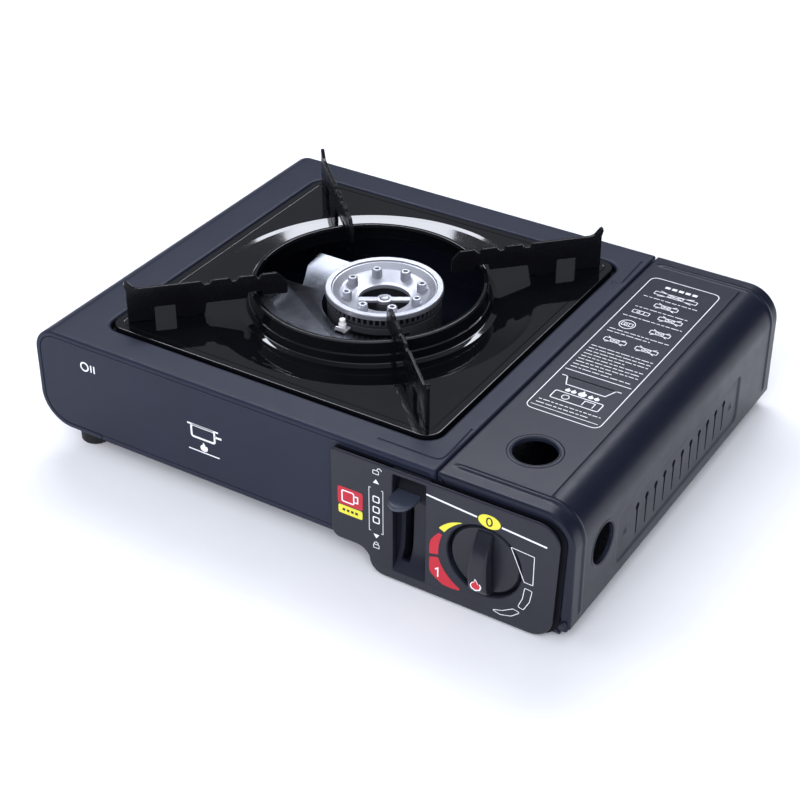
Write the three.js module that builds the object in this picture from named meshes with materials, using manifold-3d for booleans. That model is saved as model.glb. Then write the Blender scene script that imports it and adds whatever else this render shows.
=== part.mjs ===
// Portable single-burner cassette stove: painted sheet case, enamelled drip tray with four pan
// supports, aluminium burner, and a cartridge bay under a lid hinged at the right.
// Units are millimetres. X runs along the length, Y to the back, Z up. The origin is at the
// centre of the footprint, on the surface that the stove stands on.

import * as THREE from 'three';
import { mergeVertices } from 'three/addons/utils/BufferGeometryUtils.js';
import Module from 'manifold-3d';

const wasm = await Module();
wasm.setup();

// ---------------------------------------------------------------- driving dimensions

const WIDTH = 340; // overall length along X
const DEPTH = 271; // overall depth, from the lever's tab to the back
const CASE_DEPTH = 256; // sheet case alone
const DECK_Z = 77; // top face of the deck
const SHEET = 1.2; // case sheet
const GAP = 0.4; // clearance between neighbouring pieces

const LEFT = -WIDTH / 2;
const RIGHT = WIDTH / 2;
const BACK = DEPTH / 2;
const FRONT = BACK - CASE_DEPTH;
const MID_Y = (FRONT + BACK) / 2;

const TOP_RADIUS = 14; // upper left edge of the case
const BOTTOM_RADIUS = 20; // lower left edge of the case
const FLOOR_HIGH = 14.7; // underside of the case at the burner
const FLOOR_LOW = 3; // underside of the case at the cartridge bay
const FLOOR_STEP_X = 62; // where the floor steps down
const HEM = 3; // turned-in border round the front and back openings of the case
const SEAM = { deckEdge: 91.4, lidEdge: 92.4, drop: 7 }; // gap between deck and lid

const LID = { bendRadius: 19, bottom: 9, lip: 5.2 };
const LID_HINGE = { x: 165.5, z: 10, ear: 4.2, pin: 1.5 };
const LID_FINGER_HOLE = { x: 125.3, y: MID_Y - 86.5, radius: 11.7 };
const LID_SIDE_HOLE = { y: MID_Y - 95.5, z: 43, radius: 11.2 };
const LID_VENTS = { count: 11, firstY: MID_Y - 53.8, pitch: 11.08, width: 2.2, bottom: 22, top: 40.5 };

const TRAY = { x: -28.7, y: MID_Y - 0.2, half: 105.5, corner: 9, top: 77.6, sheet: 1 };
const TRAY_RECESS = { margin: 2, floor: 70.3, opening: 97 };
const ARM = { sheet: 2.2, foot: TRAY.top + 0.3, tabFrom: 99, tabTo: 107, tabDepth: 3 };

const BURNER = { x: -20.5, y: MID_Y + 2.5, radius: 34, top: 84, hole: 14.6 };
const POSTS = { count: 8, ring: 22, radius: 3, top: 83.2, turn: -6 };
const PORTS = { teeth: 60, outer: 33.4, root: 31.9, inner: 30.4, bottom: 75.1, top: 80.9 };
const BURNER_BASE = { radius: 33, bottom: 55, top: 74.7, wall: 2.5 };
const SHIELD = { top: 73, sheet: 0.8, left: -86, right: 9, front: MID_Y - 68, back: MID_Y - 5.5 };
const FIN = { left: -81, base: -71.7, back: MID_Y + 23, rise: 6.5 }; // bent up beside the burner
const ELECTRODE = { x: -26, y: MID_Y - 36.5 };
const TUBE = { angle: -40, radius: 8, from: 33.6, to: 90, z: 63 };

const PANEL = { left: 31.5, right: 166.2, top: 72, bottom: 1.5, thick: 3.5, back: FRONT - 0.5 };
const KNOB = { x: 122.5, z: 36, well: 21.5, radius: 19.8, front: -132.5, disc: -122.3, ridge: 11 };
const LEVER = {
  y: -78, z: 38.5, left: 69, right: 88.3, top: 69, bottom: 8, head: 43, swing: 44, crank: 12,
  prongLeft: 72, prongRight: 76.1,
};
const BAY = { x: 128.5, z: 39.5, cartridge: 33.5, divider: 86, front: -58, back: 128 };
const STROKE = 2 * LEVER.crank * Math.sin((LEVER.swing / 2) * Math.PI / 180); // of the cartridge pusher
const FOOT = { radius: 9, leftX: -147, rightX: 148, y: 111 };

const RAD = Math.PI / 180;

// ---------------------------------------------------------------- finishes

const finish = (color, roughness, metalness) =>
  new THREE.MeshStandardMaterial({ color, roughness, metalness });

const PAINT = finish('#474a55', 0.5, 0.3);
const ENAMEL = finish('#101114', 0.12, 0.1);
const PLASTIC = finish('#33353b', 0.6, 0);
const LEVER_PLASTIC = finish('#23252a', 0.5, 0);
const ALUMINIUM = finish('#d9dade', 0.35, 0.9);
const STEEL = finish('#b9bcc2', 0.3, 0.9);
const DARK_STEEL = finish('#26272b', 0.6, 0.5);
const BRASS = finish('#b58a3c', 0.35, 0.9);
const RUBBER = finish('#17181a', 0.9, 0);
const CERAMIC = finish('#eceae4', 0.4, 0);
const LEAD = finish('#c9c4b6', 0.7, 0);

// ---------------------------------------------------------------- solids

// A closed geometry as a solid that can be joined and cut.
function solid(geometry) {
  const bare = geometry.clone();
  bare.deleteAttribute('normal');
  bare.deleteAttribute('uv');
  const merged = mergeVertices(bare, 1e-4);
  const index = merged.index.array;
  const kept = [];
  for (let i = 0; i < index.length; i += 3) {
    const [a, b, c] = [index[i], index[i + 1], index[i + 2]];
    if (a !== b && b !== c && c !== a) kept.push(a, b, c);
  }
  return new wasm.Manifold(new wasm.Mesh({
    numProp: 3,
    vertProperties: new Float32Array(merged.attributes.position.array),
    triVerts: new Uint32Array(kept),
  }));
}

function geometryOf(manifold) {
  const { vertProperties, triVerts } = manifold.getMesh();
  const geometry = new THREE.BufferGeometry();
  geometry.setAttribute('position', new THREE.BufferAttribute(new Float32Array(vertProperties), 3));
  geometry.setIndex(new THREE.BufferAttribute(new Uint32Array(triVerts), 1));
  geometry.computeVertexNormals();
  return geometry;
}

const join = (...solids) => solids.reduce((all, one) => all.add(one));
const cut = (from, ...tools) => tools.reduce((rest, tool) => rest.subtract(tool), from);

function box(x0, x1, y0, y1, z0, z1) {
  const geometry = new THREE.BoxGeometry(x1 - x0, y1 - y0, z1 - z0);
  return solid(geometry.translate((x0 + x1) / 2, (y0 + y1) / 2, (z0 + z1) / 2));
}

function extrude(shape, depth, segments) {
  return new THREE.ExtrudeGeometry(shape, { depth, bevelEnabled: false, curveSegments: segments });
}

// An outline in X and Y, raised from z0 to z1.
function raise(shape, z0, z1, segments = 8) {
  return solid(extrude(shape, z1 - z0, segments).translate(0, 0, z0));
}

// An outline in X and Z, run from y0 to y1.
function runY(shape, y0, y1, segments = 8) {
  return solid(extrude(shape, y1 - y0, segments).rotateX(90 * RAD).translate(0, y1, 0));
}

// An outline in Y and Z, run from x0 to x1.
const YZ_TO_X = new THREE.Matrix4().makeBasis(
  new THREE.Vector3(0, 1, 0), new THREE.Vector3(0, 0, 1), new THREE.Vector3(1, 0, 0));
function runX(shape, x0, x1, segments = 8) {
  return solid(extrude(shape, x1 - x0, segments).applyMatrix4(YZ_TO_X).translate(x0, 0, 0));
}

function outline(points) {
  return new THREE.Shape(points.map(([u, v]) => new THREE.Vector2(u, v)));
}

function disc(u, v, radius) {
  return new THREE.Shape().absarc(u, v, radius, 0, 2 * Math.PI, false);
}

function rectangle(u0, u1, v0, v1) {
  return outline([[u0, v0], [u1, v0], [u1, v1], [u0, v1]]);
}

function roundedSquare(u, v, half, radius) {
  const inner = half - radius;
  const shape = new THREE.Shape();
  shape.absarc(u + inner, v + inner, radius, 0, Math.PI / 2, false);
  shape.absarc(u - inner, v + inner, radius, Math.PI / 2, Math.PI, false);
  shape.absarc(u - inner, v - inner, radius, Math.PI, 1.5 * Math.PI, false);
  shape.absarc(u + inner, v - inner, radius, 1.5 * Math.PI, 2 * Math.PI, false);
  return shape;
}

// A closed profile of [radius, height] points, turned about the Z axis.
function turned(profile, segments = 32) {
  const area = profile.reduce((sum, [r, h], i) => {
    const [nextR, nextH] = profile[(i + 1) % profile.length];
    return sum + r * nextH - nextR * h;
  }, 0);
  const ordered = area > 0 ? [...profile] : [...profile].reverse();
  const start = Math.max(0, ordered.findIndex(([r], i) =>
    r === 0 && ordered[(i - 1 + ordered.length) % ordered.length][0] === 0));
  const loop = [...ordered.slice(start), ...ordered.slice(0, start)];
  if (loop[0][0] !== 0) loop.push(loop[0]);
  const points = loop.map(([r, h]) => new THREE.Vector2(r, h));
  return solid(new THREE.LatheGeometry(points, segments).rotateX(90 * RAD));
}

function rod(x, y, z0, z1, radius, segments = 24) {
  return turned([[0, z0], [radius, z0], [radius, z1], [0, z1]], segments).translate([x, y, 0]);
}

// A turned piece laid along Y: heights of its profile become Y.
const layY = (piece, x, z) => piece.rotate([-90, 0, 0]).translate([x, 0, z]);

// A round bar through points, with smooth bends.
function bar(points, radius, steps, sides = 10) {
  const path = new THREE.CatmullRomCurve3(points.map((p) => new THREE.Vector3(...p)), false, 'centripetal');
  const section = new THREE.Shape();
  section.absarc(0, 0, radius, 0, 2 * Math.PI, false);
  return solid(new THREE.ExtrudeGeometry(section, {
    steps, extrudePath: path, bevelEnabled: false, curveSegments: sides,
  }));
}

const stove = new THREE.Group();

function place(name, manifold, material) {
  const mesh = new THREE.Mesh(geometryOf(manifold), material);
  mesh.name = name;
  stove.add(mesh);
}

// ---------------------------------------------------------------- sheet case

// The wrapped sheet's section: underside, left side, deck. The band lies between two insets.
function wrapSection(inset, seamDrop) {
  const lip = -128;
  const topX = LEFT + TOP_RADIUS;
  const topZ = DECK_Z - TOP_RADIUS;
  const lowX = LEFT + BOTTOM_RADIUS;
  const lowZ = FLOOR_HIGH + BOTTOM_RADIUS;
  const shape = new THREE.Shape();
  shape.moveTo(lip, FLOOR_HIGH + inset);
  shape.absarc(lowX, lowZ, BOTTOM_RADIUS - inset, 270 * RAD, 180 * RAD, true);
  shape.absarc(topX, topZ, TOP_RADIUS - inset, 180 * RAD, 90 * RAD, true);
  shape.lineTo(SEAM.deckEdge - SHEET, DECK_Z - inset);
  shape.lineTo(SEAM.deckEdge - SHEET, DECK_Z - seamDrop);
  shape.lineTo(SEAM.deckEdge, DECK_Z - seamDrop);
  shape.lineTo(SEAM.deckEdge, DECK_Z);
  shape.absarc(topX, topZ, TOP_RADIUS, 90 * RAD, 180 * RAD, false);
  shape.absarc(lowX, lowZ, BOTTOM_RADIUS, 180 * RAD, 270 * RAD, false);
  shape.lineTo(lip, FLOOR_HIGH);
  return shape;
}

function bodyShell() {
  const { x, y, half } = TRAY;
  const inner = half + TRAY_RECESS.margin;
  const floorTop = TRAY_RECESS.floor + SHEET;
  const sheet = join(
    runY(wrapSection(SHEET, SEAM.drop), FRONT, BACK),
    runY(wrapSection(HEM, SEAM.drop), FRONT, FRONT + SHEET),
    runY(wrapSection(HEM, SEAM.drop), BACK - SHEET, BACK),
    raise(roundedSquare(x, y, inner + SHEET, 11.2), TRAY_RECESS.floor, DECK_Z - 0.1, 4),
  );
  return cut(
    sheet,
    raise(roundedSquare(x, y, inner, 10), floorTop, DECK_Z + 5, 4),
    raise(roundedSquare(x, y, TRAY_RECESS.opening, 12), 60, DECK_Z + 5, 4),
    ...[-1, 1].map((side) => rod(FOOT.leftX, MID_Y + side * FOOT.y, 10, 20, 2.4, 12)),
  );
}

// The front and back plates fill the openings of the case inside its hem and the lid's lips.
function endPlate() {
  const edge = HEM + GAP;
  const bendX = RIGHT - LID.bendRadius;
  const bendZ = DECK_Z - LID.bendRadius;
  const bend = LID.bendRadius - LID.lip - GAP;
  const shape = new THREE.Shape();
  const lowX = LEFT + BOTTOM_RADIUS;
  const lowZ = FLOOR_HIGH + BOTTOM_RADIUS;
  shape.absarc(lowX, lowZ, BOTTOM_RADIUS - edge, 180 * RAD, 270 * RAD);
  shape.lineTo(FLOOR_STEP_X - 4, FLOOR_HIGH + edge);
  shape.lineTo(FLOOR_STEP_X + 3, FLOOR_HIGH);
  shape.lineTo(FLOOR_STEP_X + 3, FLOOR_LOW + SHEET + GAP);
  shape.lineTo(bendX + bend, FLOOR_LOW + SHEET + GAP);
  shape.absarc(bendX, bendZ, bend, 0, 90 * RAD, false);
  shape.lineTo(SEAM.lidEdge + SHEET + GAP, DECK_Z - LID.lip - GAP);
  shape.lineTo(SEAM.lidEdge + SHEET + GAP, DECK_Z - SEAM.drop - GAP);
  shape.lineTo(SEAM.deckEdge - SHEET - GAP, DECK_Z - SEAM.drop - GAP);
  shape.lineTo(SEAM.deckEdge - SHEET - GAP, DECK_Z - edge);
  shape.absarc(LEFT + TOP_RADIUS, DECK_Z - TOP_RADIUS, TOP_RADIUS - edge, 90 * RAD, 180 * RAD, false);
  return shape;
}

const FRONT_PLATE_Y = [FRONT + 0.3, FRONT + 0.3 + SHEET];
const BACK_PLATE_Y = [BACK - 0.3 - SHEET, BACK - 0.3];

function frontPlate() {
  const [y0, y1] = FRONT_PLATE_Y;
  return cut(
    runY(endPlate(), y0, y1),
    runY(disc(LID_HINGE.x, LID_HINGE.z, LID_HINGE.ear + GAP), y0 - 1, y1 + 1),
    runY(disc(KNOB.x, KNOB.z, KNOB.well + 2), y0 - 1, y1 + 1, 12),
    box(LEVER.left - 2.5, LEVER.right + 2.5, y0 - 1, y1 + 1, LEVER.bottom - 2, LEVER.top + 2),
  );
}

function backPlate() {
  const [y0, y1] = BACK_PLATE_Y;
  const vents = [];
  for (let i = 0; i < 7; i += 1) {
    const x = -88 + i * 20;
    vents.push(box(x - 6, x + 6, y0 - 1, y1 + 1, 53, 56));
  }
  return cut(
    runY(endPlate(), y0, y1),
    runY(disc(LID_HINGE.x, LID_HINGE.z, LID_HINGE.ear + GAP), y0 - 1, y1 + 1),
    ...vents,
  );
}

// The floor: high under the burner, low under the cartridge, with the lid's hinge tabs.
function basePan() {
  const y0 = FRONT_PLATE_Y[1] + GAP;
  const y1 = BACK_PLATE_Y[0] - GAP;
  const left = -127.6;
  const right = 163.8;
  const upstand = 8.4;
  const section = outline([
    [left, FLOOR_HIGH], [FLOOR_STEP_X, FLOOR_HIGH], [FLOOR_STEP_X, FLOOR_LOW], [right, FLOOR_LOW],
    [right, upstand], [right - SHEET, upstand], [right - SHEET, FLOOR_LOW + SHEET],
    [FLOOR_STEP_X + SHEET, FLOOR_LOW + SHEET], [FLOOR_STEP_X + SHEET, FLOOR_HIGH + SHEET],
    [left, FLOOR_HIGH + SHEET],
  ]);
  const tab = new THREE.Shape();
  tab.moveTo(150, FLOOR_LOW + 0.1);
  tab.lineTo(162, FLOOR_LOW + 0.1);
  tab.lineTo(162, LID_HINGE.z - 2.9);
  tab.absarc(LID_HINGE.x, LID_HINGE.z, 2.9, -90 * RAD, 90 * RAD, false);
  tab.lineTo(150, LID_HINGE.z + 2.9);
  const border = rectangle(left, PANEL.left - 1, FLOOR_HIGH, FLOOR_HIGH + HEM);
  const backBorder = rectangle(left, FLOOR_STEP_X - 6, FLOOR_HIGH, FLOOR_HIGH + HEM);
  const holes = [-1, 1].map((side) => rod(FOOT.rightX, MID_Y + side * FOOT.y, 0, 8, 2.4, 12));
  const pin = layY(rod(0, 0, FRONT, BACK, LID_HINGE.pin + 0.3, 12), LID_HINGE.x, LID_HINGE.z);
  return cut(
    join(
      runY(section, y0, y1),
      runY(tab, y0, y0 + SHEET),
      runY(tab, y1 - SHEET, y1),
      runY(border, FRONT_PLATE_Y[0], y0 + SHEET),
      runY(backBorder, y1 - SHEET, BACK_PLATE_Y[1]),
    ),
    ...holes,
    pin,
  );
}

function bayDivider() {
  const x0 = BAY.divider;
  const x1 = x0 + SHEET;
  const y0 = -98;
  const y1 = BACK_PLATE_Y[0] - GAP;
  const bottom = FLOOR_LOW + SHEET + 0.3;
  return cut(
    join(
      box(x0, x1, y0, y1, bottom, DECK_Z - SHEET - 0.5),
      box(x0 - 10, x0 + 0.1, y0 + 30, y1, bottom, bottom + SHEET),
    ),
    runX(disc(LEVER.y, LEVER.z, 3.6), x0 - 1, x1 + 1),
    runX(disc(-96, 12, 3.6), x0 - 1, x1 + 1),
    runX(disc(-91, 66, 2.4), x0 - 1, x1 + 1),
  );
}

function cartridgeLid() {
  const bendX = RIGHT - LID.bendRadius;
  const bendZ = DECK_Z - LID.bendRadius;
  const section = (inset, seamWidth, seamDrop) => {
    const shape = new THREE.Shape();
    shape.moveTo(SEAM.lidEdge, DECK_Z - seamDrop);
    shape.lineTo(SEAM.lidEdge + seamWidth, DECK_Z - seamDrop);
    shape.lineTo(SEAM.lidEdge + seamWidth, DECK_Z - inset);
    shape.absarc(bendX, bendZ, LID.bendRadius - inset, 90 * RAD, 0, true);
    shape.lineTo(RIGHT - inset, LID.bottom);
    shape.lineTo(RIGHT, LID.bottom);
    shape.absarc(bendX, bendZ, LID.bendRadius, 0, 90 * RAD, false);
    shape.lineTo(SEAM.lidEdge, DECK_Z);
    return shape;
  };
  const lip = section(LID.lip, SHEET, LID.lip + 0.1);
  const ear = disc(LID_HINGE.x, LID_HINGE.z, LID_HINGE.ear);
  const ends = [[FRONT, FRONT + SHEET], [BACK - SHEET, BACK]];
  const vents = [];
  for (let i = 0; i < LID_VENTS.count; i += 1) {
    const y = LID_VENTS.firstY + i * LID_VENTS.pitch;
    const half = LID_VENTS.width / 2;
    vents.push(box(RIGHT - 4, RIGHT + 2, y - half, y + half, LID_VENTS.bottom, LID_VENTS.top));
  }
  const sheet = join(
    runY(section(SHEET, SHEET, SEAM.drop), FRONT, BACK),
    ...ends.flatMap(([y0, y1]) => [runY(lip, y0, y1), runY(ear, y0, y1)]),
  );
  return cut(
    sheet,
    rod(LID_FINGER_HOLE.x, LID_FINGER_HOLE.y, DECK_Z - 4, DECK_Z + 4, LID_FINGER_HOLE.radius, 32),
    runX(disc(LID_SIDE_HOLE.y, LID_SIDE_HOLE.z, LID_SIDE_HOLE.radius), RIGHT - 4, RIGHT + 2),
    layY(rod(0, 0, FRONT - 5, BACK + 5, LID_HINGE.pin + 0.4, 16), LID_HINGE.x, LID_HINGE.z),
    ...vents,
  );
}

// A pin through the lid's ear and the floor's hinge tab, headed on the inside of the case.
function hingePin(outside, inward) {
  const y = (distance) => outside + inward * distance;
  const profile = [[0, y(0)], [LID_HINGE.pin, y(0)], [LID_HINGE.pin, y(3.5)], [2.1, y(3.5)], [2.1, y(4.3)],
    [0, y(4.3)]];
  return layY(turned(profile, 16), LID_HINGE.x, LID_HINGE.z);
}

// ---------------------------------------------------------------- tray and pan supports

function dripTray() {
  const { x, y, half, corner, top, sheet } = TRAY;
  const under = top - sheet;
  const skirtBottom = TRAY_RECESS.floor + SHEET + GAP;
  const bowl = [
    [95.5, top], [93, top - 0.5], [74, top - 2.6], [71.4, top - 2.1], [69.8, 79], [66.9, 86.4],
    [65.8, 87.2], [64.6, 86.8], [64, 85.4], [65, 85.2], [66.1, 84.6], [68.7, 78.4], [70.9, 74.1],
    [74, top - 3.6], [93, top - 1.5], [95.5, under],
  ];
  const slots = [];
  for (let i = 0; i < 4; i += 1) {
    const reach = ARM.sheet / 2 + GAP;
    const slot = box(ARM.tabFrom - GAP, ARM.tabTo + GAP, -reach, reach, 70, 90);
    slots.push(slot.rotate([0, 0, 45 + i * 90]).translate([x, y, 0]));
  }
  const skirt = cut(
    raise(roundedSquare(x, y, half, corner), skirtBottom, top, 4),
    raise(roundedSquare(x, y, half - SHEET, corner - SHEET), skirtBottom - 1, under, 4),
    rod(x, y, 60, 90, 94.5, 48),
  );
  return cut(join(skirt, turned(bowl, 48).translate([x, y, 0])), ...slots);
}

// One folded arm, drawn as radius from the tray's centre against height.
function panSupport(angle) {
  const top = 98.7;
  const foot = ARM.foot;
  const notch = (centre, half) => [
    [centre + half, top], [centre + half - 1.9, top - 2.2],
    [centre - half + 1.9, top - 2.2], [centre - half, top],
  ];
  const profile = [
    [138, foot], [138, 98.2], [139, 101.6], [138.2, 103.9], [136.8, 103.2], [133.6, 99.5], [130.7, top],
    ...notch(93.1, 3.6), ...notch(77.6, 3.2), ...notch(63.9, 2.4),
    [53.3, top], [49.3, 94.9], [47.7, 92.4], [47.7, 85], [62.2, 85.3], [62.2, 88.4],
    [69.8, 88.4], [70.8, 84.6], [94, 84.6], [95, foot],
    [ARM.tabFrom, foot], [ARM.tabFrom, foot - ARM.tabDepth],
    [ARM.tabTo, foot - ARM.tabDepth], [ARM.tabTo, foot],
    [111.3, foot], [111.3, 85.9], [123, 85.9], [123, foot],
  ];
  const half = ARM.sheet / 2;
  return runY(outline(profile), -half, half).rotate([0, 0, angle]).translate([TRAY.x, TRAY.y, 0]);
}

// ---------------------------------------------------------------- burner

function burnerHead() {
  const { x, y, radius, top, hole } = BURNER;
  const cup = turned([
    [radius, top - 2.8], [radius, top - 0.8], [radius - 0.8, top], [30.4, top], [28.2, 80.5], [26, 78],
    [hole + 0.6, 76], [hole, 75.5], [hole, 73.6], [25.5, 75], [30, 79], [30, top - 2.8],
  ], 40);
  const posts = [];
  for (let i = 0; i < POSTS.count; i += 1) {
    const angle = (POSTS.turn + (i * 360) / POSTS.count) * RAD;
    const [px, py] = [POSTS.ring * Math.cos(angle), POSTS.ring * Math.sin(angle)];
    posts.push(rod(px, py, 75.6, POSTS.top, POSTS.radius, 10));
  }
  const spoke = box(-hole - 1, hole + 1, -2.4, 2.4, 73.6, 75.4).rotate([0, 0, 32]);
  const hub = rod(0, 0, 73.6, 75.8, 4.4, 16);
  return cut(join(cup, spoke, hub, ...posts), rod(0, 0, 70, 90, 1.8, 12)).translate([x, y, 0]);
}

function burnerPortRing() {
  const { teeth, outer, root, inner, bottom, top } = PORTS;
  const points = [];
  const pitch = 360 / teeth;
  for (let i = 0; i < teeth; i += 1) {
    for (const [radius, turn] of [[outer, 0], [outer, 0.5], [root, 0.55], [root, 0.95]]) {
      const angle = (i + turn) * pitch * RAD;
      points.push([radius * Math.cos(angle), radius * Math.sin(angle)]);
    }
  }
  const ring = outline(points);
  ring.holes.push(disc(0, 0, inner));
  return raise(ring, bottom, top, 24).translate([BURNER.x, BURNER.y, 0]);
}

function burnerBase() {
  const { radius, bottom, top, wall } = BURNER_BASE;
  const cup = turned([
    [0, bottom], [radius - 3, bottom], [radius, bottom + 3], [radius, top], [radius - wall, top],
    [radius - wall, bottom + wall], [5, bottom + wall], [5, 73], [1.9, 73],
    [1.9, bottom + 4], [0, bottom + 4],
  ], 32);
  const inlet = turned([[0, 0], [5, 0], [5, 12], [0, 12]], 20)
    .rotate([0, 90, 0]).translate([radius - 8, 0, TUBE.z]).rotate([0, 0, TUBE.angle]);
  return cut(cup, inlet).translate([BURNER.x, BURNER.y, 0]);
}

function burnerScrew() {
  return turned([[0, 60], [1.5, 60], [1.5, 76.1], [3, 76.1], [3, 77.4], [2.2, 78.1], [0, 78.1]], 16)
    .translate([BURNER.x, BURNER.y, 0]);
}

// A bridge that carries the burner above the floor.
function burnerBracket() {
  const foot = FLOOR_HIGH + SHEET + 0.3;
  const crown = BURNER_BASE.bottom - 0.3;
  const half = 26;
  const section = outline([
    [-half - 10, foot], [-half + SHEET, foot], [-half + SHEET, crown - SHEET],
    [half - SHEET, crown - SHEET], [half - SHEET, foot], [half + 10, foot], [half + 10, foot + SHEET],
    [half, foot + SHEET], [half, crown], [-half, crown], [-half, foot + SHEET], [-half - 10, foot + SHEET],
  ]);
  return runY(section, -11, 11).translate([BURNER.x, BURNER.y, 0]);
}

// The polished plate under the burner. A fin is bent up beside the burner, and a leg reaches the floor.
function heatShield() {
  const { top, sheet, left, right, front, back } = SHIELD;
  const bottom = top - sheet;
  const floor = FLOOR_HIGH + SHEET + 0.3;
  const upper = [];
  for (let i = 0; i <= 8; i += 1) {
    const share = i / 8;
    upper.push([back + (FIN.back - back) * share, top + FIN.rise * share * share]);
  }
  const lower = upper.map(([y, z]) => [y, z - sheet]).reverse();
  const corner = outline([
    [FIN.base, back], [FIN.left + 1, back + 18], [FIN.left - 5, back + 18], [FIN.left - 5, back],
  ]);
  const fin = cut(
    runX(outline([[back - 2, bottom], [back - 2, top], ...upper, ...lower]), FIN.left, BURNER.x),
    raise(corner, 60, 90),
  );
  const plate = join(
    raise(outline([
      [left, front], [right, front], [right, BURNER.y], [BURNER.x, BURNER.y], [FIN.base, back],
      [left, back],
    ]), bottom, top),
    fin,
    box(left, left + SHEET, MID_Y - 30, MID_Y - 10, floor, top - 0.1),
    box(left - 9, left + 0.1, MID_Y - 30, MID_Y - 10, floor, floor + SHEET),
  );
  return cut(
    plate,
    rod(BURNER.x, BURNER.y, 60, 90, BURNER.radius + 2, 40),
    rod(ELECTRODE.x, ELECTRODE.y, 60, 90, 3, 16),
  );
}

function electrodeBracket() {
  const { x, y } = ELECTRODE;
  return cut(
    join(
      box(x - 6, x + 6, y - 4.4, y + 4.4, SHIELD.top + 0.3, SHIELD.top + 1.3),
      box(x - 4.4, x + 4.4, y - 4.4, y - 3.4, SHIELD.top + 1, SHIELD.top + 6.3),
    ),
    rod(x, y, 60, 90, 2.9, 16),
  );
}

function sparkElectrode() {
  return turned([[0, 62], [1.4, 62], [1.4, 66], [2.4, 66.6], [2.4, 78.4], [1.6, 79.4], [0.8, 79.6],
    [0.8, 84.4], [0, 84.8]], 14).translate([ELECTRODE.x, ELECTRODE.y, 0]);
}

function mixingTube() {
  const { angle, radius, from, to, z } = TUBE;
  return turned([
    [radius - 1.2, from], [radius, from], [radius, to - 14], [radius + 1.6, to], [radius + 0.4, to],
    [radius - 1.2, to - 14],
  ], 20).rotate([0, 90, 0]).translate([0, 0, z]).rotate([0, 0, angle]).translate([BURNER.x, BURNER.y, 0]);
}

function gasJet() {
  const { angle, to, z } = TUBE;
  return turned([[0, to + 2], [1.6, to + 2], [4.4, to + 6], [4.4, to + 12], [0, to + 12]], 12)
    .rotate([0, 90, 0]).translate([0, 0, z]).rotate([0, 0, angle]).translate([BURNER.x, BURNER.y, 0]);
}

function gasPipe() {
  const reach = TUBE.to + 12.5;
  const end = [
    BURNER.x + reach * Math.cos(TUBE.angle * RAD), BURNER.y + reach * Math.sin(TUBE.angle * RAD), TUBE.z,
  ];
  return bar([
    [99.5, -96, 12], [88, -96, 12], [74, -96, 12.5], [63, -95, 22], [60.5, -84, 40], [60.5, -70, 56],
    [end[0] + 2.6, end[1] - 2.2, TUBE.z], end,
  ], 2.2, 24, 4);
}

// ---------------------------------------------------------------- controls and cartridge bay

function controlPanel() {
  const { left, right, top, bottom, thick, back } = PANEL;
  const face = back - thick;
  const corner = 13;
  const shape = new THREE.Shape();
  shape.moveTo(left, top - 3);
  shape.absarc(left + 5, 20.5, 5, 180 * RAD, 270 * RAD, false);
  shape.absarc(47, 7.5, 8, 90 * RAD, 22 * RAD, true);
  shape.absarc(63.5, 10.5, 9, 200 * RAD, 270 * RAD, false);
  shape.absarc(right - 1.8 - corner, bottom + corner, corner, -90 * RAD, 0, false);
  shape.absarc(right - 12, top - 12, 12, 0, 90 * RAD, false);
  shape.absarc(left + 3, top - 3, 3, 90 * RAD, 180 * RAD, false);
  const { left: l, right: r, top: t, bottom: b } = LEVER;
  const wall = 1.5;
  const scoop = [[0, b], [1.2, 9], [4, 12], [6.5, 16], [7.9, 20], [8.4, 26], [8.8, 33], [9, 44], [9, 50],
    [12.5, 60], [16, 66], [18.5, t]].map(([depth, z]) => [face + depth, z]);
  const scoopBack = [[3, b - wall], [5.6, 10.6], [8.1, 15], [9.4, 19.5], [9.9, 26], [10.3, 33], [10.5, 44],
    [10.5, 49.7], [13.9, 60.7], [17.4, 67], [20.2, t + wall]].map(([depth, z]) => [face + depth, z]);
  const front = face + 0.1;
  const well = runX(outline([[front, b - wall], ...scoopBack, [front, t + wall]]), l - wall, r + wall);
  const hollow = runX(outline([[face - 5, b], ...scoop, [face - 5, t]]), l, r);
  const slot = box(LEVER.prongLeft - 0.5, LEVER.prongRight + 0.5, -122, -90, 12.5, 66);
  const knobCup = layY(rod(0, 0, face + 0.1, KNOB.disc + 6.2, KNOB.well + 1.5, 32), KNOB.x, KNOB.z);
  return cut(
    join(runY(shape, face, back), well, knobCup),
    hollow,
    slot,
    layY(rod(0, 0, face - 5, KNOB.disc + 4.6, KNOB.well, 32), KNOB.x, KNOB.z),
    layY(rod(0, 0, face - 5, -100, 4.6, 16), KNOB.x, KNOB.z),
    layY(rod(0, 0, face - 5, back + 1, 3.4, 16), LID_HINGE.x, LID_HINGE.z),
  );
}

function controlKnob() {
  const { x, z, radius, front, disc: face, ridge } = KNOB;
  const plate = layY(turned([[0, face], [radius - 1, face], [radius, face + 1], [radius, face + 4.2],
    [0, face + 4.2]], 32), 0, 0);
  const side = outline([
    [face + 1, 18.4], [front + 5.4, 14.8], [front + 1.4, 8], [front, -4], [front + 0.8, -14],
    [front + 4, -18.4], [face + 1, -18.6],
  ]);
  const handle = runX(side, -ridge / 2, ridge / 2);
  const bore = layY(rod(0, 0, -128.5, face + 10, 4.3, 16), 0, 0);
  return cut(join(plate, handle), bore).translate([x, 0, z]);
}

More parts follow.
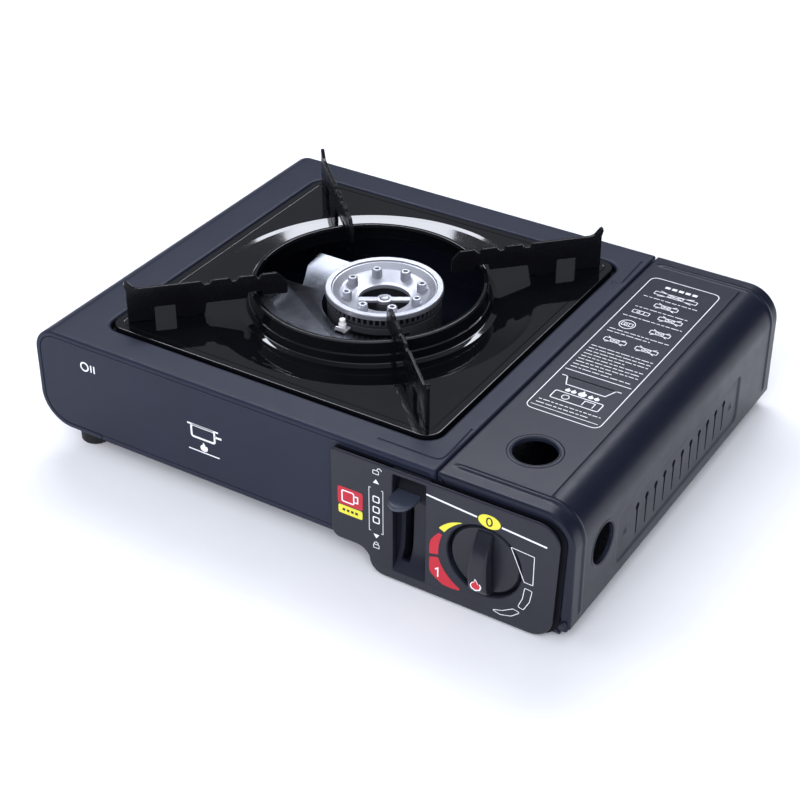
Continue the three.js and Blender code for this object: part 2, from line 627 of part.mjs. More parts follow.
// The valve shaft turns with the knob. Its cam's radius grows evenly with the turn.
const CAM = { base: 7, rise: 5, turn: 150, y0: -111.5, y1: -107.5 };
function valveShaft() {
  const points = [];
  const steps = 30;
  for (let i = 0; i < steps; i += 1) {
    const turn = (i * 360) / steps;
    const climb = Math.min(turn / CAM.turn, 1);
    const fall = turn > 240 ? 1 : Math.max(0, (turn - 160) / 80);
    const radius = CAM.base + CAM.rise * Math.min(climb, 1 - fall);
    const angle = (90 - turn) * RAD;
    points.push([radius * Math.cos(angle), radius * Math.sin(angle)]);
  }
  const shaft = layY(rod(0, 0, -128, -105, 4, 16), 0, 0);
  return join(shaft, runY(outline(points.reverse()), CAM.y0, CAM.y1)).translate([KNOB.x, 0, KNOB.z]);
}

function igniterPlunger() {
  const foot = KNOB.z + CAM.base + 0.5;
  return turned([[0, foot], [1, foot], [2.5, foot + 2.6], [2.5, foot + 13], [0, foot + 13]], 14)
    .translate([KNOB.x, (CAM.y0 + CAM.y1) / 2, 0]);
}

function piezoIgniter() {
  const y = (CAM.y0 + CAM.y1) / 2;
  const flangeBack = FRONT_PLATE_Y[1] + GAP;
  return cut(
    join(
      turned([[0, 51], [5.8, 51], [5.8, 70], [4, 72], [0, 72]], 20).translate([KNOB.x, y, 0]),
      box(KNOB.x - 4, KNOB.x + 4, flangeBack + 0.5, y, 60.5, 67),
      box(KNOB.x - 11, KNOB.x + 11, flangeBack, flangeBack + SHEET, 60.5, 69),
    ),
    rod(KNOB.x, y, 45, 63, 2.9, 14),
  );
}

function ignitionLead() {
  return bar([
    [115.6, -108.5, 66.5], [106, -101, 67], [94, -92.5, 66.2], [86, -91, 66], [72, -89, 65.5],
    [48, -80, 62], [20, -60, 58], [-6, -42, 52], [-20, -31, 50], [-25.6, ELECTRODE.y - 0.5, 55],
    [ELECTRODE.x, ELECTRODE.y, 61.6],
  ], 1.1, 28, 4);
}

function regulatorBody() {
  const body = layY(turned([
    [0, -104.6], [8, -104.6], [8, -101], [21, -101], [22.5, -99.5], [22.5, -87], [16, -82], [16, -72],
    [0, -72],
  ], 32), KNOB.x, KNOB.z);
  const outlet = box(100, 113, -100, -92, 8, 24);
  const foot = box(106, 139, -98, -84, FLOOR_LOW + SHEET + 0.3, 17);
  return join(body, outlet, foot);
}

// The seat that the cartridge's valve is pushed into.
function regulatorSocket() {
  return layY(turned([
    [4.2, -71.6], [13, -71.6], [13, -66], [10, -64], [10, -60], [5.2, -60], [4.2, -62],
  ], 24), BAY.x, BAY.z);
}

// A plate that locates the cartridge's collar: its cut-out is open at the top.
function cartridgeGuide() {
  const bottom = FLOOR_LOW + SHEET + 0.3;
  const plate = join(
    box(94, 161.8, BAY.front - SHEET, BAY.front, bottom, 36),
    box(94, 161.8, BAY.front - 10, BAY.front - 0.1, bottom, bottom + SHEET),
    box(BAY.x - 2.5, BAY.x + 2.5, BAY.front - 0.1, BAY.front + 3, 17.5, 20),
  );
  return cut(
    plate,
    runY(disc(BAY.x, BAY.z, 18), BAY.front - 20, BAY.front + 1, 14),
    box(BAY.x - 18, BAY.x + 18, BAY.front - 20, BAY.front + 1, BAY.z, 60),
  );
}

// A saddle that carries the back half of the cartridge.
function cartridgeSaddle() {
  const bottom = FLOOR_LOW + SHEET + 0.3;
  const y = 78;
  return cut(
    join(box(98, 159, y, y + 2, bottom, 16), box(98, 159, y - 8, y + 0.1, bottom, bottom + SHEET)),
    layY(rod(0, 0, y - 20, y + 20, BAY.cartridge + 0.3, 40), BAY.x, BAY.z),
  );
}

const LEVER_REST = 30; // the head's middle above level, in degrees, in the unlocked position
const HEAD_HALF = 12; // half of the head's spread, in degrees

function ringSector(radius0, radius1, from, to) {
  const shape = new THREE.Shape();
  shape.absarc(LEVER.y, LEVER.z, radius1, (180 - from) * RAD, (180 - to) * RAD, true);
  shape.absarc(LEVER.y, LEVER.z, radius0, (180 - to) * RAD, (180 - from) * RAD, false);
  return shape;
}

// The head covers the slot; a prong carries it from the hub through the slot.
function lockLever() {
  const { head: inner, prongLeft, prongRight } = LEVER;
  const low = LEVER_REST - HEAD_HALF + 2;
  const high = LEVER_REST + HEAD_HALF;
  const head = runX(ringSector(inner, inner + 1.6, low, high), LEVER.left + 0.5, LEVER.right - 0.5, 6);
  const prong = runX(ringSector(5, inner + 1, LEVER_REST - 7, LEVER_REST + 7), prongLeft, prongRight, 3);
  const hub = runX(disc(LEVER.y, LEVER.z, 6.4), 70.5, 83.5, 8);
  const tab = new THREE.Shape();
  tab.moveTo(69.4, -117);
  tab.lineTo(83.4, -117);
  tab.lineTo(83.4, -126);
  tab.absellipse(76.4, -126, 7, 9.5, 0, -Math.PI, true, 0);
  tab.lineTo(69.4, -117);
  const thumb = raise(tab, 55.6, 58.4, 8);
  const bore = runX(disc(LEVER.y, LEVER.z, 3.3), 60, 100, 6);
  return cut(join(head, hub, prong, thumb), bore);
}

// The lever's shaft crosses to the cartridge bay, where its crank pin moves the pusher.
function leverShaft() {
  const lean = LEVER.swing / 2;
  const pinY = LEVER.y + LEVER.crank * Math.sin(lean * RAD);
  const pinZ = LEVER.z + LEVER.crank * Math.cos(lean * RAD);
  const arm = box(87.7, 89.2, -3, 3, -3, LEVER.crank + 2)
    .rotate([-lean, 0, 0]).translate([0, LEVER.y, LEVER.z]);
  return join(
    runX(disc(LEVER.y, LEVER.z, 2.9), 64, 89, 6),
    arm,
    runX(disc(pinY, pinZ, 2), 89, 92.9, 5),
  );
}

function leverBracket() {
  const y0 = LEVER.y - 7;
  const y1 = LEVER.y + 7;
  const foot = FLOOR_LOW + SHEET + 0.3;
  return cut(
    join(
      box(66.4, 67.6, y0, y1, foot, LEVER.z + 8),
      box(67.5, 84, y0, y1, foot, foot + SHEET),
    ),
    runX(disc(LEVER.y, LEVER.z, 3.3), 60, 70, 6),
  );
}

// A bar beside the bay, hooked behind the cartridge, that draws it on to the regulator's seat.
function cartridgePusher() {
  const [x0, x1] = [89.8, 91.6];
  const back = BAY.back + STROKE - 2;
  return cut(
    join(
      box(x0, x1, LEVER.y - 12, -58, 32, 56),
      box(x0, x1, -60, back - 7, 32, 44),
      box(x0, 146, back - 9, back - 7, 26, 50),
    ),
    box(x0 - 1, x1 + 1, LEVER.y + STROKE / 2 - 2.4, LEVER.y + STROKE / 2 + 2.4, LEVER.z + 8, LEVER.z + 15),
  );
}

// ---------------------------------------------------------------- feet

function foot(x, y, top) {
  const bottomRadius = Math.min(1, top / 3);
  return cut(
    turned([
      [0, 0], [FOOT.radius - bottomRadius, 0], [FOOT.radius, bottomRadius], [FOOT.radius, top], [0, top],
    ], 20),
    rod(0, 0, 1, top + 1, 2.3, 12),
  ).translate([x, y, 0]);
}

function footScrew(x, y, seat) {
  return turned([
    [0, 1.3], [1.9, 1.3], [1.9, seat + 0.3], [4, seat + 0.3], [4, seat + 1.4], [2.6, seat + 2.4],
    [0, seat + 2.4],
  ], 12).translate([x, y, 0]);
}

// ---------------------------------------------------------------- assembly

place('body_shell', bodyShell(), PAINT);
place('front_plate', frontPlate(), PAINT);
place('back_plate', backPlate(), PAINT);
place('base_pan', basePan(), PAINT);
place('bay_divider', bayDivider(), STEEL);
place('cartridge_lid', cartridgeLid(), PAINT);
place('hinge_pin_front', hingePin(FRONT, 1), STEEL);
place('hinge_pin_back', hingePin(BACK, -1), STEEL);

place('drip_tray', dripTray(), ENAMEL);
for (let i = 0; i < 4; i += 1) place(`pan_support_${i + 1}`, panSupport(45 + i * 90), ENAMEL);

place('burner_head', burnerHead(), ALUMINIUM);
place('burner_port_ring', burnerPortRing(), DARK_STEEL);
place('burner_base', burnerBase(), DARK_STEEL);
place('burner_screw', burnerScrew(), STEEL);
place('burner_bracket', burnerBracket(), STEEL);
place('heat_shield', heatShield(), STEEL);
place('electrode_bracket', electrodeBracket(), STEEL);
place('spark_electrode', sparkElectrode(), CERAMIC);
place('mixing_tube', mixingTube(), STEEL);
place('gas_jet', gasJet(), BRASS);
place('gas_pipe', gasPipe(), BRASS);

place('control_panel', controlPanel(), PLASTIC);
place('control_knob', controlKnob(), PLASTIC);
place('valve_shaft', valveShaft(), BRASS);
place('igniter_plunger', igniterPlunger(), STEEL);
place('piezo_igniter', piezoIgniter(), PLASTIC);
place('ignition_lead', ignitionLead(), LEAD);
place('regulator_body', regulatorBody(), ALUMINIUM);
place('regulator_socket', regulatorSocket(), BRASS);
place('cartridge_guide', cartridgeGuide(), STEEL);
place('cartridge_saddle', cartridgeSaddle(), STEEL);
place('lock_lever', lockLever(), LEVER_PLASTIC);
place('lever_shaft', leverShaft(), STEEL);
place('lever_bracket', leverBracket(), STEEL);
place('cartridge_pusher', cartridgePusher(), STEEL);

const FEET = [
  ['left_front', FOOT.leftX, -1, FLOOR_HIGH], ['left_back', FOOT.leftX, 1, FLOOR_HIGH],
  ['right_front', FOOT.rightX, -1, FLOOR_LOW], ['right_back', FOOT.rightX, 1, FLOOR_LOW],
];
for (const [where, x, side, seat] of FEET) {
  const y = MID_Y + side * FOOT.y;
  place(`foot_${where}`, foot(x, y, seat - 0.3), RUBBER);
  place(`foot_screw_${where}`, footScrew(x, y, seat + SHEET), STEEL);
}

export default stove;
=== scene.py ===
"""Looks of a portable cassette stove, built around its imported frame. Lengths in the helpers are
millimetres in the frame's axes; meshes are scaled to metres when they are made."""

import math
import random

import bmesh
import bpy
from mathutils import Matrix, Vector


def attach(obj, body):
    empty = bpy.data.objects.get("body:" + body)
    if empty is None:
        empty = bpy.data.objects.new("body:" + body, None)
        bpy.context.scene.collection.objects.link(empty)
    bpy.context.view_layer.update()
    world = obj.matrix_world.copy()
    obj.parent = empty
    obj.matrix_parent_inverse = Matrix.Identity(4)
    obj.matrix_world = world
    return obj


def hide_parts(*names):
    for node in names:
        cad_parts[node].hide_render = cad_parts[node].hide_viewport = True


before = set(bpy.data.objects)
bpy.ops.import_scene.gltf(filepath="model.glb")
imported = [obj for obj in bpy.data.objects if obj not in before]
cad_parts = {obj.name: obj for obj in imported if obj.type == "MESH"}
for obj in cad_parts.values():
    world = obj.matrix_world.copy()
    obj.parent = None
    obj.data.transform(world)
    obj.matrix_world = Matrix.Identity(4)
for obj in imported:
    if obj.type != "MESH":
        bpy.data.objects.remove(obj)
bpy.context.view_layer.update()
scene = bpy.context.scene
MM = 0.001

# -------------------- driving dimensions, in mm

LEFT, RIGHT, FRONT, BACK, DECK = -170.0, 170.0, -120.5, 135.5, 77.0  # the sides and top of case and lid
FOLD = 1.2  # radius of the sheets' folds beside the seam and at the lid's foot
SEAM_DECK, SEAM_LID = 91.4, 92.4  # the two sides of the gap between deck and lid
FLOOR_HIGH = 14.7  # the case's floor beside the cartridge bay
TRAY_X, TRAY_Y = -28.7, 7.3
TRAY_HALF, TRAY_ROUND = 105.5, 96.5  # half the tray's width, and the centres of its corner rounds
WELL_HALF, WELL_ROUND = 109.2, 97.5  # the same for the well in the case
BURNER_X, BURNER_Y = -20.5, 10.0
SPARK = (-24.3, -27.9)  # the electrode, in X and Y
FINGER_HOLE = (125.3, -79.0)  # in the lid's top, in X and Y
SIDE_HOLE = (-88.0, 43.0)  # in the lid's side, in Y and Z
PANEL_FACE = -124.5
FRONT_PRINT = -120.2  # prints on the front sheet
KNOB_X, KNOB_Z = 122.5, 36.0
LEVER_Y, LEVER_Z = -78.0, 38.5


# -------------------- camera

AZIMUTH = math.radians(31.86)  # the view's turn to the right of the front


def make_camera():
    """A three-quarter view from above the front right corner."""
    elevation, distance = math.radians(33.85), 0.97455
    aim = Vector((0.02752, -0.05049, 0.057))
    back = Vector((math.sin(AZIMUTH) * math.cos(elevation), -math.cos(AZIMUTH) * math.cos(elevation),
                   math.sin(elevation)))
    data = bpy.data.cameras.new("camera")
    data.lens, data.sensor_width = 80.75, 36.0
    data.clip_start, data.clip_end = 0.05, 20.0
    camera = bpy.data.objects.new("camera", data)
    camera.location = aim + back * distance
    camera.rotation_mode = "QUATERNION"
    camera.rotation_quaternion = (-back).to_track_quat("-Z", "Y")
    scene.collection.objects.link(camera)
    scene.camera = camera


make_camera()


# -------------------- materials

class Nodes:
    """The node tree of a material or of the world, with the few calls needed here."""

    def __init__(self, owner):
        owner.use_nodes = True
        self.tree = owner.node_tree
        self.link = self.tree.links.new
        self.place = self.add("ShaderNodeTexCoord").outputs

    def add(self, kind, **settings):
        node = self.tree.nodes.new(kind)
        for key, value in settings.items():
            setattr(node, key, value)
        return node

    def stretched(self, scale):
        mapping = self.add("ShaderNodeMapping")
        mapping.inputs["Scale"].default_value = scale
        self.link(self.place["Object"], mapping.inputs["Vector"])
        return mapping.outputs["Vector"]

    def noise(self, size_mm, detail, rough=0.55, where=None):
        node = self.add("ShaderNodeTexNoise")
        node.inputs["Scale"].default_value = 1000.0 / size_mm
        node.inputs["Detail"].default_value = detail
        node.inputs["Roughness"].default_value = rough
        self.link(where or self.place["Object"], node.inputs["Vector"])
        return node.outputs["Fac"]

    def ranged(self, source, low, high, at_low=0.3, at_high=0.7):
        """A value that goes from low to high as the source goes from at_low to at_high."""
        node = self.add("ShaderNodeMapRange")
        for key, value in (("From Min", at_low), ("From Max", at_high), ("To Min", low), ("To Max", high)):
            node.inputs[key].default_value = value
        self.link(source, node.inputs["Value"])
        return node.outputs["Result"]

    def mixed(self, factor, first, second):
        node = self.add("ShaderNodeMix", data_type="RGBA")
        for socket, value in ((node.inputs[6], first), (node.inputs[7], second)):
            if isinstance(value, tuple):
                socket.default_value = (*value, 1.0)
            else:
                self.link(value, socket)
        self.link(factor, node.inputs[0])
        return node.outputs[2]

    def bumped(self, layers):
        """Layers of (height, distance in mm), one bump after another."""
        normal = None
        for height, distance in layers:
            node = self.add("ShaderNodeBump")
            node.inputs["Strength"].default_value = 1.0
            node.inputs["Distance"].default_value = distance * MM
            self.link(height, node.inputs["Height"])
            if normal:
                self.link(normal, node.inputs["Normal"])
            normal = node.outputs["Normal"]
        return normal


def scaled(color, factor):
    """The colour made lighter or darker."""
    return tuple(min(1.0, c * factor) for c in color)


def finish(name, color, rough, metal=0.0, coat=0.0, grain=(0.5, 0.02), waves=None, tint=0.12, swing=0.05,
           blotch=40.0, specular=0.5, brushed=None):
    """A finish with mottled colour, uneven gloss and a fine grain. grain and waves are (size, height)
    in mm, blotch is the size of the mottling, and brushed stretches the grain."""
    material = bpy.data.materials.new(name)
    n = Nodes(material)
    s = n.tree.nodes["Principled BSDF"].inputs
    s["Metallic"].default_value = metal
    s["Coat Weight"].default_value = coat
    s["Coat Roughness"].default_value = 0.03
    s["Specular IOR Level"].default_value = specular
    broad = n.noise(blotch, 4.0)
    base = n.mixed(n.ranged(broad, 0.0, 1.0), scaled(color, 1 - tint), scaled(color, 1 + tint))
    n.link(base, s["Base Color"])
    where = n.stretched(brushed) if brushed else None
    fine = n.noise(grain[0], 2.0, where=where)
    smudge = n.noise(blotch * 0.35, 5.0, 0.65)
    n.link(n.ranged(smudge, rough - swing, rough + swing), s["Roughness"])
    layers = [(fine, grain[1])]
    if waves:
        layers.append((n.noise(waves[0], 1.0), waves[1]))
    n.link(n.bumped(layers), s["Normal"])
    return material


PAINT = finish("paint", (0.0175, 0.0205, 0.037), 0.42, grain=(0.55, 0.03), tint=0.06, swing=0.04,
               specular=0.2, waves=(45, 0.04))
LID_PAINT = finish("lid_paint", (0.0103, 0.0126, 0.0235), 0.34, grain=(0.55, 0.03), tint=0.06, swing=0.04,
                   specular=0.26)
# painted shade: near black for surfaces deep in gaps, where shade falls
GAP_SHADE = finish("painted_gap_shade", (0.004, 0.0045, 0.007), 0.6, grain=(0.55, 0.03), tint=0.06, specular=0.1)
ENAMEL = finish("enamel", (0.0032, 0.0034, 0.0045), 0.05, coat=0.7, grain=(1.6, 0.0015), waves=(28, 0.03),
                tint=0.2, swing=0.02)
ARM_ENAMEL = finish("arm_enamel", (0.0045, 0.0045, 0.006), 0.25, grain=(0.7, 0.008), tint=0.2, swing=0.06,
                    specular=0.3)
CAST = finish("cast_aluminium", (0.58, 0.59, 0.64), 0.4, 0.78, grain=(0.35, 0.03), tint=0.04, swing=0.08)
PORT_BLACK = finish("burnt_steel", (0.19, 0.195, 0.22), 0.36, 0.8, grain=(0.4, 0.03), specular=0.3)
# near black that fills the burner's gas slots: painted shade
SLOT_SHADE = finish("painted_slot_shade", (0.004, 0.004, 0.005), 0.8, grain=(0.4, 0.03), tint=0.1, specular=0.1)
POLISHED = finish("polished_steel", (0.17, 0.18, 0.205), 0.2, 1.0, grain=(0.5, 0.004), waves=(60, 0.04),
                  tint=0.05, brushed=(0.1, 4.0, 1.0))
STEEL = finish("zinc_steel", (0.52, 0.53, 0.56), 0.34, 1.0, grain=(0.4, 0.02), tint=0.1, swing=0.1, blotch=9)
CLIP_STEEL = finish("bright_steel", (0.80, 0.81, 0.84), 0.32, 0.6, grain=(0.4, 0.02), tint=0.06, swing=0.08,
                    blotch=9)
DARK_STEEL = finish("dark_steel", (0.035, 0.036, 0.042), 0.42, 0.4, grain=(0.4, 0.02), tint=0.1, blotch=9,
                    specular=0.3)
PANEL_BLACK = finish("panel_plastic", (0.0135, 0.015, 0.024), 0.40, grain=(0.3, 0.03), tint=0.05, swing=0.04,
                     specular=0.4)
KNOB_BLACK = finish("knob_plastic", (0.012, 0.013, 0.019), 0.34, grain=(0.25, 0.02), tint=0.06, specular=0.4)
LEVER_BLACK = finish("lever_plastic", (0.010, 0.0105, 0.014), 0.34, grain=(0.25, 0.02), tint=0.06,
                     specular=0.4)
THUMB_GREY = finish("thumb_plastic", (0.040, 0.046, 0.068), 0.32, grain=(0.25, 0.02), tint=0.06)
RUBBER = finish("foot_rubber", (0.012, 0.012, 0.013), 0.75, grain=(0.4, 0.05), tint=0.15)
CERAMIC = finish("white_ceramic", (0.86, 0.86, 0.84), 0.25, coat=0.6, grain=(0.5, 0.01), tint=0.03)
BRASS = finish("brass", (0.62, 0.42, 0.16), 0.28, 1.0, grain=(0.3, 0.02), tint=0.12, blotch=6)
LEAD = finish("lead_insulation", (0.62, 0.60, 0.54), 0.5, grain=(0.8, 0.05), tint=0.08)
WHITE_INK = finish("white_ink", (0.88, 0.88, 0.90), 0.5, grain=(0.4, 0.01), tint=0.04)
RED_INK = finish("red_ink", (0.52, 0.014, 0.03), 0.45, grain=(0.4, 0.01), tint=0.06)
YELLOW_INK = finish("yellow_ink", (0.78, 0.72, 0.05), 0.45, grain=(0.4, 0.01), tint=0.06)
BLACK_INK = finish("black_ink", (0.012, 0.012, 0.012), 0.5, grain=(0.4, 0.01), tint=0.06)


# -------------------- making pieces

def piece(name, mesh, material, body, stands_for=(), smooth=32.0):
    """A mesh in mm becomes a piece in metres that rides on a body."""
    mesh.name = name
    mesh.transform(Matrix.Scale(MM, 4))
    mesh.materials.clear()
    mesh.materials.append(material)
    mesh.polygons.foreach_set("material_index", [0] * len(mesh.polygons))
    mesh.shade_smooth()
    mesh.set_sharp_from_angle(angle=math.radians(smooth))
    obj = bpy.data.objects.new(name, mesh)
    scene.collection.objects.link(obj)
    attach(obj, body)
    if stands_for:
        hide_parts(*stands_for)
    return obj


def cleaned(mesh):
    """The mesh with doubled points merged and its faces turned outward."""
    work = bmesh.new()
    work.from_mesh(mesh)
    bmesh.ops.remove_doubles(work, verts=work.verts, dist=1e-4)
    bmesh.ops.recalc_face_normals(work, faces=work.faces)
    work.to_mesh(mesh)
    work.free()
    return mesh


def joined(*meshes):
    """One mesh from several."""
    work = bmesh.new()
    for mesh in meshes:
        work.from_mesh(mesh)
    out = bpy.data.meshes.new("joined")
    work.to_mesh(out)
    work.free()
    return out


def evaluated(data, kind=None, **settings):
    """The mesh of a curve, or of a mesh after a modifier."""
    obj = bpy.data.objects.new("work", data)
    scene.collection.objects.link(obj)
    if kind:
        modifier = obj.modifiers.new(kind.lower(), kind)
        for key, value in settings.items():
            setattr(modifier, key, value)
    bpy.context.view_layer.update()
    out = bpy.data.meshes.new_from_object(obj.evaluated_get(bpy.context.evaluated_depsgraph_get()))
    bpy.data.objects.remove(obj)
    return out


def carved(mesh, *tools):
    """The mesh with the tools' meshes cut out of it."""
    for tool in tools:
        cutter = bpy.data.objects.new("tool", tool)
        scene.collection.objects.link(cutter)
        mesh = evaluated(mesh, "BOOLEAN", object=cutter, operation="DIFFERENCE", solver="EXACT")
        bpy.data.objects.remove(cutter)
    return mesh


def thickened(mesh, thick, even=False):
    """A sheet with its thickness grown inward."""
    return evaluated(mesh, "SOLIDIFY", thickness=thick, offset=-1.0, use_even_offset=even)


def moved(mesh, offset, turn=0.0):
    """The mesh turned about Z, in degrees, and then shifted."""
    mesh.transform(Matrix.Translation(offset) @ Matrix.Rotation(math.radians(turn), 4, "Z"))
    return mesh


def rounded(points, radius, steps=4, guard=0.3):
    """A closed outline with its corners rounded. A point may carry its own radius as a third number. A
    guard point on each side of a round keeps the flats beside it flat when they are shaded."""
    out = []
    count = len(points)
    for i in range(count):
        here = Vector(points[i][:2])
        before = Vector(points[i - 1][:2]) - here
        after = Vector(points[(i + 1) % count][:2]) - here
        wanted = points[i][2] if len(points[i]) > 2 else radius
        if wanted <= 0 or before.length < 1e-6 or after.length < 1e-6:
            out.append(tuple(here))
            continue
        angle = before.angle(after)
        reach = min(wanted / max(math.tan(angle / 2), 1e-3), before.length * 0.48, after.length * 0.48)
        start, end = here + before.normalized() * reach, here + after.normalized() * reach
        if before.length > 2.2 * (reach + guard):
            out.append(tuple(here + before.normalized() * (reach + guard)))
        for t in (k / steps for k in range(steps + 1)):
            out.append(tuple(start * (1 - t) ** 2 + here * 2 * t * (1 - t) + end * t ** 2))
        if after.length > 2.2 * (reach + guard):
            out.append(tuple(here + after.normalized() * (reach + guard)))
    return out


def circle(count):
    """Unit vectors all round, evenly spaced."""
    return [(math.cos(math.tau * i / count), math.sin(math.tau * i / count)) for i in range(count)]


def arc(cx, cy, radius, start, end, steps):
    """Points along an arc, between two angles in degrees."""
    angles = [math.radians(start + (end - start) * i / steps) for i in range(steps + 1)]
    return [(cx + radius * math.cos(a), cy + radius * math.sin(a)) for a in angles]


def rect(x0, y0, x1, y1):
    """A box's outline from two corners."""
    return [(x0, y0), (x1, y0), (x1, y1), (x0, y1)]


def plate(outlines, thick, edge, detail=2, inset=0.0):
    """A flat plate from closed outlines in X and Y, the later ones holes, from z = 0 to thick, with round
    edges. With an inset every edge is set back into the material."""
    curve = bpy.data.curves.new("plate", "CURVE")
    curve.dimensions = "2D"
    curve.fill_mode = "BOTH"
    curve.extrude = thick / 2 - edge
    curve.bevel_depth = edge
    curve.bevel_resolution = detail
    curve.offset = -edge - inset
    for outline in outlines:
        spline = curve.splines.new("POLY")
        spline.points.add(len(outline) - 1)
        spline.points.foreach_set("co", [c for u, v in outline for c in (u, v, 0.0, 1.0)])
        spline.use_cyclic_u = True
    mesh = evaluated(curve)
    mesh.transform(Matrix.Translation((0, 0, thick / 2)))
    return cleaned(mesh)


def facing(mesh, y):
    """A plate drawn in X and Y stands up: its outline's Y becomes Z, and its thickness runs back from y."""
    mesh.transform(Matrix(((1, 0, 0, 0), (0, 0, 1, y), (0, 1, 0, 0), (0, 0, 0, 1))))
    mesh.flip_normals()
    return mesh


def sideways(mesh, x):
    """A plate drawn in Y and Z: its thickness runs along X from x."""
    mesh.transform(Matrix(((0, 0, 1, x), (1, 0, 0, 0), (0, 1, 0, 0), (0, 0, 0, 1))))
    return mesh


def loft(loops, closed=True, capped=False):
    """Quads between loops of equal length."""
    size = len(loops[0])
    span = size if closed else size - 1
    faces = []
    for i in range(len(loops) - 1):
        for j in range(span):
            a, b = i * size + j, i * size + (j + 1) % size
            faces.append((a, b, b + size, a + size))
    if capped:
        faces.append(tuple(range(size))[::-1])
        faces.append(tuple(range((len(loops) - 1) * size, len(loops) * size)))
    mesh = bpy.data.meshes.new("shape")
    mesh.from_pydata([tuple(v) for loop in loops for v in loop], [], faces)
    return cleaned(mesh)


def lathe(profile, cx=0.0, cy=0.0, segments=96, closed=True):
    """A profile of (radius, height) turned about a vertical axis."""
    ring = list(profile) + ([profile[0]] if closed else [])
    return loft([[(cx + r * u, cy + r * v, h) for u, v in circle(segments)] for r, h in ring])


def drill(radius, low, high, cx, cy, segments):
    """A solid cylinder to cut with."""
    return lathe([(0.01, low), (radius, low), (radius, high), (0.01, high)], cx, cy, segments)


def tube(points, radius, sides):
    """A round bar along a path, with closed ends."""
    path = [Vector(p) for p in points]
    loops = []
    side = None
    for i, here in enumerate(path):
        along = (path[min(i + 1, len(path) - 1)] - path[max(i - 1, 0)]).normalized()
        if side is None:
            side = along.orthogonal().normalized()
        side = (side - along * side.dot(along)).normalized()
        up = along.cross(side)
        loops.append([here + (side * u + up * v) * radius for u, v in circle(sides)])
    return loft(loops, capped=True)


INK = 0.1  # thickness of every print


def ribbon(points, width, closed=False):
    """A flat stroke of even width along a path in X and Y."""
    path = [Vector(p) for p in points]
    count = len(path)
    loops = []
    for i, here in enumerate(path):
        into = (here - path[i - 1]).normalized() if closed or i else None
        onward = (path[(i + 1) % count] - here).normalized() if closed or i < count - 1 else into
        into = into or onward
        across = Vector((-into.y - onward.y, into.x + onward.x)).normalized()
        reach = across * (width / 2 / max(across.dot(Vector((-into.y, into.x))), 0.4))
        a, b = here + reach, here - reach
        loops.append([(*a, INK), (*b, INK), (*b, 0.0), (*a, 0.0)])
    if closed:
        loops.append(loops[0])
    return loft(loops, capped=not closed)


def smooth_path(points):
    """A Catmull-Rom path through points."""
    p = [Vector(points[0])] + [Vector(q) for q in points] + [Vector(points[-1])]
    out, steps = [], 8
    for i in range(1, len(p) - 2):
        for k in range(steps):
            t = k / steps
            a, b, c, d = p[i - 1], p[i], p[i + 1], p[i + 2]
            out.append(0.5 * (2 * b + (c - a) * t + (2 * a - 5 * b + 4 * c - d) * t * t
                              + (3 * b - a - 3 * c + d) * t * t * t))
    return out + [p[-1]]


def about_knob(profile):
    """A profile of (radius, y) turned about the knob's axis."""
    ring = list(profile) + [profile[0]]
    return loft([[(KNOB_X + r * u, y, KNOB_Z + r * v) for u, v in circle(96)] for r, y in ring])


def dress(name, material, bevel):
    """A CAD node that stays as it is: its sharp edges are eased and it gets its finish."""
    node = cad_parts[name]
    node.data.materials.clear()
    node.data.materials.append(material)
    weld = node.modifiers.new("weld", "WELD")
    weld.merge_threshold = 1e-5
    if bevel:
        ease = node.modifiers.new("ease", "BEVEL")
        ease.width = bevel * MM
        ease.segments = 2
        ease.limit_method = "ANGLE"
        ease.angle_limit = math.radians(35)
        ease.harden_normals = True


# -------------------- wrapped sheets: case and lid

def straight(start, end, normal, count):
    """A flat run of a sheet's path, from start to end in X and Z."""
    return [(start[0] + (end[0] - start[0]) * i / count, start[1] + (end[1] - start[1]) * i / count, *normal)
            for i in range(count + 1)]


def bend(cx, cz, radius, start, end, count):
    """A round run of a sheet's path, between two angles about a centre in X and Z."""
    return [(cx + radius * u, cz + radius * v, u, v) for u, v in arc(0, 0, 1, start, end, count)]


def wrap(path, rows, inset, relief=None):
    """A sheet along a path of (x, z, normal x, normal z), at rows of (y, depth turned in from the edge)."""
    loops = []
    for y, depth in rows:
        loop = []
        for p in path:
            x, z = inset(p, depth)
            lift = relief(p, y) if relief and depth == 0 else 0.0
            loop.append((x + p[2] * lift, y, z + p[3] * lift))
        loops.append(loop)
    return loft(loops, closed=False)


def edge_rows(edge, inward, radius, lip):
    """Rows that turn a sheet's edge in: first the lip's end, then its face, then a small round."""
    rows = [(edge + inward * 1.2, lip), (edge + inward * 0.25, lip), (edge, lip - 0.3)]
    for u, v in arc(0, 0, 1, 0, 90, 4):
        rows.append((edge + inward * radius * (1 - u), radius * (1 - v)))
    return rows


def lid_inset(p, depth):
    """Where a point of the lid's path goes at a depth. The edge at the seam only turns straight down."""
    x, z, nx, nz = p
    if x < 93.7 and z > 70 and depth > 1.2:
        return SEAM_LID + depth, min(z, DECK - depth)
    return x - nx * depth, z - nz * depth


def deck_inset(p, depth):
    """The same for the case, whose seam is on its right."""
    x, z, nx, nz = p
    if x > 90.1 and depth > 1.2:
        return SEAM_DECK - depth, min(z, DECK - depth)
    return x - nx * depth, z - nz * depth


def bump(distance, half):
    """1 on the middle line, falling smoothly to 0 at half the width."""
    return 0.5 + 0.5 * math.cos(math.pi * min(abs(distance) / half, 1.0))


def soft_step(value, edge, width):
    """0 below the edge and 1 above it, eased over the width."""
    t = min(max((value - edge) / width + 0.5, 0.0), 1.0)
    return t * t * (3 - 2 * t)


